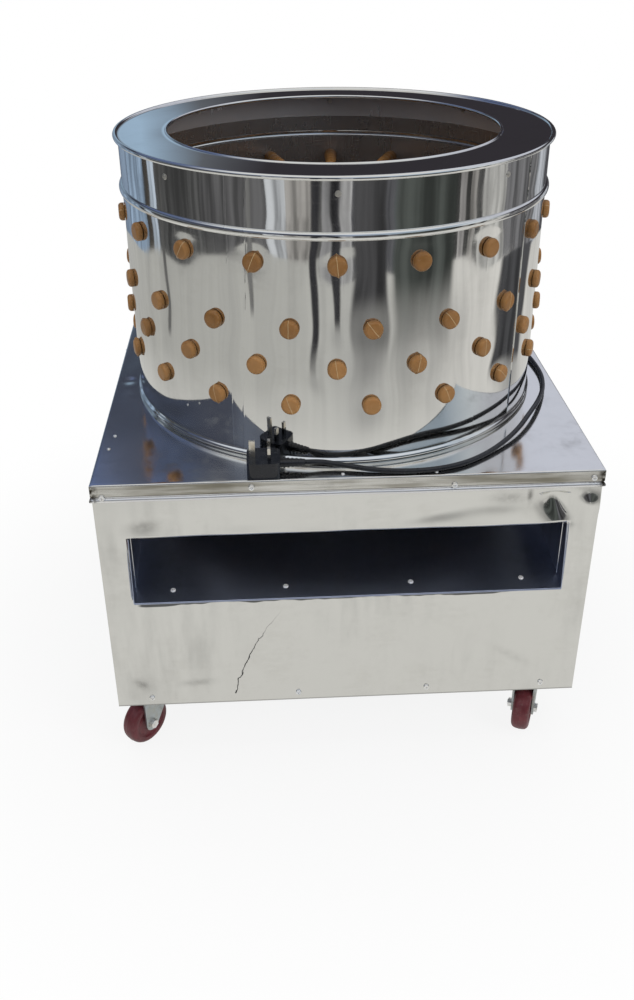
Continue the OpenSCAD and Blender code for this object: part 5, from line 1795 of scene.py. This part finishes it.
@dataclass
class CabinetPanels:
    """Four upright sheets round the cabinet, with folded edges, slow waves and a few dents."""

    top: float = 478.0
    sheet: float = 1.0
    fold: float = 1.6
    mouth_half: float = 300.0
    mouth_low: float = 297.0
    mouth_top: float = 397.0
    step: float = 3.0
    rail_foot: float = 449.5
    rail_bend: float = 8.0
    side_gap: float = 5.2
    dents: tuple[Dent, ...] = (
        Dent(278.0, 437.0, 34.0, 18.5, 113.0, -13.0, 1.6),
        Dent(324.0, 427.0, 14.0, 17.0, 60.0, 4.8),
        Dent(118.0, 421.0, 52.0, 15.0, 10.0, -2.2),
        Dent(205.0, 432.0, 40.0, 15.0, 0.0, -1.6),
        Dent(-276.0, 414.0, 18.0, 9.0, 10.0, -0.9),
        Dent(-301.0, 142.0, 16.0, 10.0, -40.0, 0.7),
        Dent(235.0, 170.0, 60.0, 45.0, 20.0, 1.2),
        Dent(-150.0, 415.0, 80.0, 16.0, 0.0, -1.3),
    )

    def build(self, wardrobe: Wardrobe) -> None:
        """Make the four panels.

        Args:
            wardrobe: Finishes.
        """
        for side in Side:
            node, turn = side.value
            across = side in (Side.FRONT, Side.REAR)
            made = self.panel(side, PANEL_FACE if across else PANEL_FACE - self.side_gap)
            piece = made.moved(turn_z(turn), (0.0, 0.0, 0.0)).piece(node + "_sheet", sharp=50.0)
            thick = piece.modifiers.new("sheet", "SOLIDIFY")
            thick.thickness = self.sheet * MM
            thick.offset = -1.0
            wardrobe.dress(piece, "front_sheet" if side is Side.FRONT else "panel_sheet")
            settle(piece, Body.CABINET, "polished_steel", node)

    def panel(self, side: Side, reach: float) -> Surface:
        """One panel facing -Y on a grid of a path across and a path up, folded in quarter circles.

        Args:
            side: Side of the cabinet.
            reach: Half of its width.

        Returns:
            The open sheet, facing -Y.
        """
        cuts = (-self.mouth_half, self.mouth_half) if side is Side.FRONT else ()
        rises = (self.mouth_low, self.mouth_top) if side is Side.FRONT else ()
        folds = side in (Side.FRONT, Side.REAR)
        x, x_back = self.folded_path(-reach, reach, cuts, folds, folds, 3.0)
        z, z_back = self.folded_path(CABINET_LOW, self.top, rises, True, False, 6.0)
        gx, gz = np.meshgrid(x, z)
        back = np.maximum(x_back[None, :], z_back[:, None])
        y = -PANEL_FACE + back + self.buckles(gx, gz, side, reach)
        points = np.stack([gx, y, gz], axis=-1)
        quads = grid_quads(len(z), len(x), False, False)
        if side is Side.FRONT:
            middle = points.reshape(-1, 3)[quads].mean(axis=1)
            in_mouth = np.abs(middle[:, 0]) < self.mouth_half
            in_mouth &= (middle[:, 2] > self.mouth_low) & (middle[:, 2] < self.mouth_top)
            quads = quads[~in_mouth]
        return Surface(points.reshape(-1, 3), quads)

    def folded_path(
        self, low: float, high: float, stops: tuple[float, ...],
        fold_low: bool, fold_high: bool, flange: float,
    ) -> tuple[np.ndarray, np.ndarray]:
        """Places along a sheet and how far each lies behind its face, its ends folded in quarter circles.

        Args:
            low: First place.
            high: Last place.
            stops: Places that a grid line has to meet.
            fold_low: Whether the low end folds back.
            fold_high: Whether the high end folds back.
            flange: Length of a folded flange behind its bend.

        Returns:
            Places, and depths behind the face.
        """
        r = self.fold
        start = low + r if fold_low else low
        end = high - r if fold_high else high
        marks = [start, *stops, end]
        spans = zip(marks[:-1], marks[1:])
        runs = [np.linspace(p, q, max(2, int((q - p) / self.step)) + 1)[:-1] for p, q in spans]
        place = np.concatenate([*runs, [end]])
        depth = np.zeros(len(place))
        bend = np.radians(np.linspace(15.0, 90.0, 6))
        around = np.concatenate([r * np.sin(bend), [r, r]])
        behind = np.concatenate([r - r * np.cos(bend), [r + flange / 2, r + flange]])
        if fold_low:
            place = np.concatenate([(start - around)[::-1], place])
            depth = np.concatenate([behind[::-1], depth])
        if fold_high:
            place = np.concatenate([place, end + around])
            depth = np.concatenate([depth, behind])
        return place, depth

    def buckles(self, x: np.ndarray, z: np.ndarray, side: Side, reach: float) -> np.ndarray:
        """Waves of the sheet, zero at its screwed edges, and turned Gaussian dents on the front.

        The frame's top rail behind the sheet stops the dents that go in, over a smooth step below it.

        Args:
            x: Places across.
            z: Heights.
            side: Side of the cabinet.
            reach: Half of its width.

        Returns:
            Shift towards +Y in millimetres.
        """
        phase = {Side.FRONT: 0.3, Side.REAR: 1.9, Side.LEFT: 3.1, Side.RIGHT: 4.4}[side]
        up = np.clip((z - CABINET_LOW) / (self.top - CABINET_LOW), 0.0, 1.0)
        held = np.sin(np.pi * up) * np.clip((reach - np.abs(x)) / 40.0, 0.0, 1.0)
        shift = 0.9 * np.sin(x / 150.0 + phase) + 0.45 * np.sin(x / 63.0 - z / 90.0 + 2.0 * phase)
        shift = (shift + 0.22 * np.sin(x / 31.0 + z / 47.0 + phase)) * held
        if side is Side.FRONT:
            below = np.clip((self.rail_foot - z) / self.rail_bend, 0.0, 1.0)
            free = below**2 * (3.0 - 2.0 * below)
            for dent in self.dents:
                height = dent.height(x, z)
                shift = shift - (height * free if dent.out < 0.0 else height)
            edge = np.exp(-np.abs(z - self.mouth_top) / 9.0) * (np.abs(x) < self.mouth_half + 12.0)
            shift = shift + edge * (0.7 * np.sin(x / 38.0) + 0.5 * np.sin(x / 17.0 + 1.0)) * held
        return shift


@dataclass
class CasterWheels:
    """Cast treads with rounded shoulders, a mould line, and a hub proud of a dished web."""

    radius: float = 37.5
    width: float = 26.0
    bore: float = 4.05
    hub_r: float = 11.0
    trail: float = 30.0
    segments: int = 64

    def build(self, wardrobe: Wardrobe) -> None:
        """Make the four wheels.

        Args:
            wardrobe: Finishes.
        """
        wheel = self.wheel()
        across = np.array([[0.0, 0.0, 1.0], [0.0, 1.0, 0.0], [-1.0, 0.0, 0.0]])
        for corner in Corner:
            label, x, y, yaw = corner.value
            turn = turn_z(yaw)
            shift = turn @ np.array([0.0, -self.trail, self.radius]) + np.array([x, y, 0.0])
            piece = wheel.moved(turn @ across, tuple(shift)).piece("wheel_" + label, sharp=40.0)
            wardrobe.dress(piece, "wheel_tread")
            settle(piece, "wheel_" + label, "wheel_tread", "caster_wheel_" + label)

    def wheel(self) -> Surface:
        """Closed loop of (radius, width) carried round: bore, hub, dish, shoulder arcs and crowned tread.

        Returns:
            The wheel about +Z.
        """
        w, r = self.width / 2, self.radius
        hub = np.array([[self.bore, w + 0.8], [self.hub_r - 0.8, w + 0.8], [self.hub_r, w]])
        dish = np.array([[13.0, w - 2.6], [16.0, w - 3.6], [21.0, w - 3.6], [24.5, w - 2.2]])
        step = np.array([[26.0, w - 0.4]])
        shoulder = arc((r - 8.6, w - 8.0), 8.2, 84.0, 8.0, 10)
        tread = np.array([[r - 0.12, 3.0], [r - 0.02, 0.8], [r + 0.25, 0.0]])
        half = np.concatenate([hub, dish, step, shoulder, tread])
        other = half[:-1][::-1] * np.array([1.0, -1.0])
        return revolve(np.concatenate([half, other]), self.segments)


@dataclass
class ChuteHems:
    """Thin rolled front edges of the chute's side sheets, just inside the mouth."""

    x: float = 296.9
    y: float = -322.0
    low: float = 303.5
    high: float = 394.0
    radius: float = 0.9

    def build(self, wardrobe: Wardrobe) -> None:
        """Make the two hems, each an upright rod with rounded ends.

        Args:
            wardrobe: Finishes.
        """
        r = self.radius
        ends = arc((0.0, self.low + r), r, -90.0, 0.0, 4)
        tops = arc((0.0, self.high - r), r, 0.0, 90.0, 4)
        rod = lathe(np.concatenate([ends, tops]), 10)
        places = np.array([[-self.x, self.y, 0.0], [self.x, self.y, 0.0]])
        hems = wardrobe.dress(rod.repeated(places).piece("chute_hems"), "ring_sheet")
        settle(hems, Body.CABINET, "polished_steel")


class StandingNodes:
    """CAD solids that stay as they are, each with its finish."""

    finishes = {
        "zinc_plate": ("caster_plates", "turntable_hub", "main_shaft", "motor_shaft", "bearing_balls"),
        "screw_zinc": ("panel_screws", "drive_bolts", "caster_bolts", "hub_bolts"),
        "rivet_zinc": ("rivets",),
        "frame_paint": ("base_frame", "drive_plate"),
        "cast_iron": ("bearing_pedestal", "driven_pulley", "motor_pulley", "motor_stator"),
        "motor_paint": ("motor_housing", "motor_end_shields", "motor_fan_cover"),
        "chute_sheet": ("feather_chute", "chute_walls"),
        "table_sheet": ("turntable",),
        "bearing_steel": ("bearing_outer_rings", "bearing_inner_rings"),
        "belt_rubber": ("drive_belt",),
        "black_plastic": (
            "motor_terminal_box", "motor_capacitor", "motor_cable", "switch_cover", "contact_block",
            "lead_gland", "motor_fan",
        ),
        "plug_black": ("plug_body",),
        "grey_plastic": ("switch_box",),
        "green_plastic": ("start_button",),
        "red_plastic": ("stop_button",),
        "pin_nickel": ("plug_pins",),
    }

    def dress(self, wardrobe: Wardrobe, nodes: dict[str, Object]) -> None:
        """Give every standing solid its finish.

        Args:
            wardrobe: Finishes.
            nodes: CAD objects by name.
        """
        for finish, names in self.finishes.items():
            for name in names:
                wardrobe.dress(nodes[name], finish)
        for corner in Corner:
            wardrobe.dress(nodes["caster_fork_" + corner.label], "fork_zinc")
            wardrobe.dress(nodes["caster_axle_" + corner.label], "screw_zinc")


@dataclass(frozen=True)
class Card:
    """Upright card seen only in mirrors: angles from -Y at its foot and its top, distance and tone.

    Angles are in degrees. Its sides fade out over a share of its half width, and its foot over a height
    in metres.
    """

    foot: tuple[float, float]
    top: tuple[float, float]
    far: float
    tone: Colour
    high: float = 1.0
    soft: float = 0.5
    rise: float = 0.30

    def build(self, name: str) -> Object:
        """Make the card as a strip of a cylinder whose angles run straight from its foot to its top.

        Args:
            name: Name of the object.

        Returns:
            The card, with the attributes side (-1 to 1 across) and up (height in metres).
        """
        rows, columns = 6, 8
        share = np.linspace(0.0, 1.0, rows)[:, None]
        across = np.linspace(0.0, 1.0, columns)[None, :]
        start = self.foot[0] + (self.top[0] - self.foot[0]) * share
        end = self.foot[1] + (self.top[1] - self.foot[1]) * share
        a = np.radians(start + (end - start) * across)
        height = self.high / MM * share + 0.0 * across
        points = np.stack([np.sin(a) * self.far / MM, -np.cos(a) * self.far / MM, height], axis=-1)
        made = Surface(points.reshape(-1, 3), grid_quads(rows, columns, False, False)).piece(name)
        note(made, "side", (2.0 * across - 1.0 + 0.0 * share).ravel())
        note(made, "up", height.ravel() * MM)
        return made


@dataclass
class Studio:
    """Pale floor, soft lamps, a white backdrop, and grey or bluish cards and walls that metal mirrors."""

    floor_r: float = 3.6
    ring_far: float = 2.6
    ring_tones: tuple[tuple[float, float, Colour], ...] = (
        (-180, -160, (0.06, 0.065, 0.08)), (-160, -138, (0.20, 0.26, 0.35)),
        (-138, -116, (0.30, 0.40, 0.54)), (-116, -111, (0.05, 0.045, 0.04)),
        (-111, -105, (0.40, 0.46, 0.54)), (-105, -72, (0.085, 0.086, 0.088)),
        (-72, -37, (0.11, 0.11, 0.115)), (-37, -27, (0.46, 0.48, 0.51)), (-27, -14, (0.32, 0.31, 0.30)),
        (-14, -9, (0.10, 0.10, 0.10)), (-9, -1, (0.25, 0.25, 0.26)), (-1, 5, (0.45, 0.45, 0.46)),
        (5, 17, (0.10, 0.102, 0.112)), (17, 26, (0.12, 0.122, 0.135)), (26, 56, (0.11, 0.12, 0.13)),
        (56, 60, (0.05, 0.05, 0.05)), (60, 64, (0.36, 0.35, 0.35)), (64, 67, (0.06, 0.06, 0.06)),
        (67, 71, (0.32, 0.31, 0.30)), (71, 75, (0.07, 0.07, 0.07)), (75, 91, (0.48, 0.48, 0.47)),
        (91, 124, (0.17, 0.17, 0.18)), (124, 140, (0.42, 0.44, 0.48)), (140, 160, (0.10, 0.10, 0.11)),
        (160, 180, (0.05, 0.05, 0.055)),
    )
    posts: tuple[Card, ...] = (
        Card((-15.0, -10.8), (-14.4, -8.4), 1.66, (0.034, 0.034, 0.038), 1.0, 0.45, 0.07),
        Card((-2.8, 1.0), (-9.4, -1.0), 1.87, (0.032, 0.032, 0.036), 1.0, 0.45, 0.05),
        Card((4.6, 23.8), (4.6, 20.0), 1.56, (0.062, 0.062, 0.066), 1.0, 0.25, 0.27),
        Card((23.5, 58.0), (23.5, 57.0), 1.58, (0.070, 0.078, 0.074), 1.0, 0.22, 0.34),
        Card((84.0, 119.0), (85.0, 123.0), 1.42, (0.060, 0.061, 0.066), 0.36, 0.20, 0.05),
        Card((-100.6, -97.2), (-100.8, -95.5), 1.75, (0.12, 0.12, 0.12), 1.0, 0.5, 0.05),
        Card((-46.0, -43.2), (-46.2, -43.0), 2.04, (0.16, 0.16, 0.16), 1.0, 0.5, 0.05),
    )
    shades: tuple[tuple[float, float, float, float], ...] = (
        (0.40, -1.62, 0.26, 0.45), (0.30, -1.50, 0.14, 0.25), (1.05, -1.55, 0.42, 0.40),
        (1.50, -1.15, 0.40, 0.35), (1.40, 0.45, 0.34, 0.60), (-0.36, -1.60, 0.10, 0.30),
        (-0.05, -1.86, 0.12, 0.30),
    )
    floor_tones: Steps = (
        (-1.0, (0.50, 0.50, 0.475)), (-0.3, (0.53, 0.53, 0.505)), (0.1, (0.55, 0.55, 0.53)),
        (0.5, (0.64, 0.635, 0.605)), (0.95, (0.82, 0.805, 0.775)), (1.0, (0.82, 0.805, 0.775)),
    )
    ray_tone: Colour = (0.24, 0.24, 0.235)
    near_tone: Colour = (0.74, 0.735, 0.71)
    shade_tone: Colour = (0.05, 0.05, 0.055)
    rear_low: Steps = (
        (-1.0, (0.16, 0.20, 0.26)), (-0.30, (0.22, 0.30, 0.40)), (-0.11, (0.36, 0.50, 0.66)),
        (-0.055, (0.12, 0.13, 0.15)), (0.0, (0.036, 0.033, 0.040)), (1.0, (0.036, 0.033, 0.040)),
    )
    rear_high: Steps = (
        (-1.0, (0.10, 0.13, 0.22)), (-0.17, (0.14, 0.19, 0.36)), (-0.145, (0.13, 0.155, 0.235)),
        (-0.13, (0.085, 0.095, 0.135)), (0.05, (0.072, 0.080, 0.115)), (0.16, (0.42, 0.44, 0.51)),
        (0.24, (0.66, 0.69, 0.80)), (1.0, (0.60, 0.62, 0.70)),
    )
    front_wall: Steps = (
        (-1.0, (0.065, 0.075, 0.115)), (-0.82, (0.075, 0.085, 0.125)), (-0.74, (0.15, 0.175, 0.24)),
        (-0.36, (0.04, 0.045, 0.07)), (-0.12, (0.05, 0.06, 0.09)), (0.09, (0.30, 0.36, 0.48)),
        (0.60, (0.38, 0.46, 0.55)), (0.80, (0.38, 0.46, 0.56)), (0.90, (0.72, 0.78, 0.85)),
    )
    front_top: Colour = (0.74, 0.79, 0.87)
    rear_foot: Colour = (0.05, 0.058, 0.085)
    ceiling: Colour = (0.80, 0.80, 0.80)

    def build(self) -> None:
        """Make the floor, the cards, the lamps and the world."""
        bpy.context.scene.view_settings.view_transform = "Standard"
        self.floor()
        for number, (start, end, tone) in enumerate(self.ring_tones):
            card = Card((start, end), (start, end), self.ring_far, tone, 1.0, 0.0, 0.0)
            self.stand(card, f"studio_wall_{number:02d}")
        for number, card in enumerate(self.posts):
            self.stand(card, f"studio_card_{number:02d}")
        self.lamp("overhead", (0.0, 0.1, 3.2), (0.0, 0.0, 0.0), 2.6, 42.0)
        self.lamp("front_left", (-1.9, -2.3, 2.2), (0.0, 0.0, 0.45), 1.3, 14.0)
        self.lamp("front_right", (2.2, -2.0, 1.8), (0.0, 0.0, 0.40), 1.3, 28.0)
        self.world()

    def floor(self) -> None:
        """Round floor: white for the camera, plain for lamps, pale with shades and rays for mirrors."""
        count = 96
        a = np.linspace(0.0, 2.0 * np.pi, count, endpoint=False)
        rim = np.stack([np.sin(a), -np.cos(a), 0.0 * a], axis=1) * self.floor_r / MM
        k = np.arange(count)
        fan = np.stack([np.full(count, count), k, (k + 1) % count], axis=1)
        points = np.concatenate([rim, np.zeros((1, 3))])
        made = Surface(points, np.zeros((0, 4), int), fan).piece("studio_floor")
        material, s = node_material("studio_floor")
        shader = material.node_tree.nodes["Principled BSDF"]
        shader.inputs["Base Color"].default_value = (0.74, 0.74, 0.73, 1.0)
        shader.inputs["Roughness"].default_value = 0.9
        shader.inputs["Specular IOR Level"].default_value = 0.1
        at = s.place()
        far = s.chain("ShaderNodeVectorMath", at, operation="LENGTH").outputs["Value"]
        path = s.add("ShaderNodeLightPath")
        seen = s.glow((1.0, 1.0, 1.0))
        mirrored = s.glow(self.floor_tone(s, at, far))
        plain = s.fade(far, 0.35, 1.0, 0.88, 1.0)
        away = s.times(path.outputs["Is Camera Ray"], plain)
        glossy = s.times(path.outputs["Is Glossy Ray"], 0.85)
        inner = s.mix(glossy, shader.outputs[0], mirrored)
        self.present(made, material, s.mix(away, inner, seen))

    def floor_tone(self, s: NodeSheet, at: object, far: object) -> Socket:
        """Colour that mirrors see on the floor: paler to the right, with rays and soft shades.

        The rays are a noise over the direction from the drum's axis alone, so each runs straight outwards.

        Args:
            s: Node sheet of the material.
            at: Object coordinates.
            far: Distance from the drum's axis.

        Returns:
            The colour.
        """
        x, y, _ = s.split(at)
        shade: object = 0.0
        for mid_x, mid_y, half, depth in self.shades:
            oval = s.spot(x, y, (mid_x, mid_y), (half, half), 0.0)
            shade = s.math("MAXIMUM", shade, s.times(oval, depth))
        ray = s.chain("ShaderNodeVectorMath", at, operation="NORMALIZE").outputs[0]
        tone = s.ramp(s.split(ray)[0], self.floor_tones)
        wide = s.fade(s.noise(ray, 4.5, 2.0), 0.36, 0.64, 0.0, 0.22)
        fine = s.fade(s.noise(ray, 17.0, 2.0), 0.40, 0.66, 0.0, 0.16)
        tone = s.blend(s.plus(wide, fine), tone, self.ray_tone)
        tone = s.blend(s.fade(far, 1.0, 1.7), self.near_tone, tone)
        return s.blend(shade, tone, self.shade_tone)

    def present(self, made: Object, material: Material, shown: Socket) -> None:
        """Give a piece of the studio its material.

        Args:
            made: Floor or card.
            material: Its material.
            shown: Shader that the material shows.
        """
        output = material.node_tree.nodes["Material Output"]
        material.node_tree.links.new(shown, output.inputs["Surface"])
        made.data.materials.append(material)

    def stand(self, card: Card, name: str) -> None:
        """Put a card into the scene, with uneven streaks in its tone and soft sides and foot.

        Args:
            card: The card.
            name: Name of its object.
        """
        made = card.build(name)
        made.visible_camera = False
        made.visible_diffuse = False
        made.visible_shadow = False
        material, s = node_material(name)
        streaks = s.noise(s.stretch(s.place(), (4.0, 4.0, 0.7)), 1.6, 3.0)
        deep = tuple(0.55 * c for c in card.tone)
        pale = tuple(1.45 * c for c in card.tone)
        lit = s.glow(s.blend(s.fade(streaks, 0.32, 0.68), deep, pale))
        if card.soft > 0.0:
            edge = s.fade(s.size(s.attribute("side")), 1.0, 1.0 - card.soft)
            body = s.times(edge, s.fade(s.attribute("up"), 0.0, card.rise))
            lit = s.mix(body, s.add("ShaderNodeBsdfTransparent").outputs[0], lit)
        self.present(made, material, lit)

    def lamp(self, name: str, place: Triple, target: Triple, size: float, watts: float) -> None:
        """Square soft lamp that faces a target and stays out of mirrors.

        Args:
            name: Name of the lamp.
            place: Where it stands.
            target: Point that it faces.
            size: Length of its sides in metres.
            watts: Its power.
        """
        data = bpy.data.lights.new(name, "AREA")
        data.size = size
        data.energy = watts
        made = link(bpy.data.objects.new(name, data))
        back = np.array(place) - np.array(target)
        back = back / np.linalg.norm(back)
        side = np.cross([0.0, 1.0, 0.0] if abs(back[2]) > 0.99 else [0.0, 0.0, 1.0], back)
        side = side / np.linalg.norm(side)
        turn_object(made, [side, np.cross(back, side), back], place)
        made.visible_glossy = False

    def world(self) -> None:
        """White for the camera, soft grey for diffuse light, and a dim room for mirrors."""
        world = bpy.data.worlds.new("studio_world")
        world.use_nodes = True
        bpy.context.scene.world = world
        s = NodeSheet(world.node_tree)
        world.node_tree.nodes.clear()
        path = s.add("ShaderNodeLightPath")
        soft, mirrored, seen = (s.add("ShaderNodeBackground") for _ in range(3))
        s.feed(soft.inputs["Color"], (0.95, 0.97, 1.0, 1.0))
        soft.inputs["Strength"].default_value = 0.42
        s.feed(mirrored.inputs["Color"], self.room(s))
        s.feed(seen.inputs["Color"], (1.0, 1.0, 1.0, 1.0))
        inner = s.mix(path.outputs["Is Glossy Ray"], soft.outputs[0], mirrored.outputs[0])
        outer = s.mix(path.outputs["Is Camera Ray"], inner, seen.outputs[0])
        s.feed(s.add("ShaderNodeOutputWorld").inputs["Surface"], outer)

    def room(self, s: NodeSheet) -> Socket:
        """Colours of the room that mirrors see: walls that change from left to right, a bright ceiling.

        The rear wall has a low band and a higher one, whose left part is dark at its foot.

        Args:
            s: Node sheet of the world.

        Returns:
            The colour by direction.
        """
        x, y, z = s.split(s.add("ShaderNodeTexCoord").outputs["Generated"])
        low = s.ramp(x, self.rear_low)
        high = s.ramp(x, self.rear_high)
        front = s.ramp(x, self.front_wall)
        front = s.blend(s.fade(z, 0.50, 0.62), front, self.front_top)
        foot = s.blend(s.fade(x, -0.12, 0.0), self.rear_foot, high)
        high = s.blend(s.fade(z, 0.470, 0.450), high, foot)
        rear = s.blend(s.fade(z, 0.27, 0.37), low, high)
        walls = s.blend(s.fade(y, -0.25, 0.25), front, rear)
        return s.blend(s.fade(z, 0.70, 0.92), walls, self.ceiling)


def main() -> None:
    """Build the scene: camera, finishes, lead, sheets, fingers, casters, standing solids and studio."""
    logging.basicConfig(level=logging.INFO, format="%(name)s %(message)s")
    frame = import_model()
    PhotoCamera().build()
    wardrobe = Wardrobe()
    MainsLead().build(wardrobe, frame["nodes"])
    fingers = Fingers()
    Drum().build(wardrobe, fingers)
    fingers.build(wardrobe)
    Deck().build(wardrobe)
    CabinetPanels().build(wardrobe)
    CasterWheels().build(wardrobe)
    ChuteHems().build(wardrobe)
    StandingNodes().dress(wardrobe, frame["nodes"])
    Studio().build()


if __name__ == "__main__":
    main()
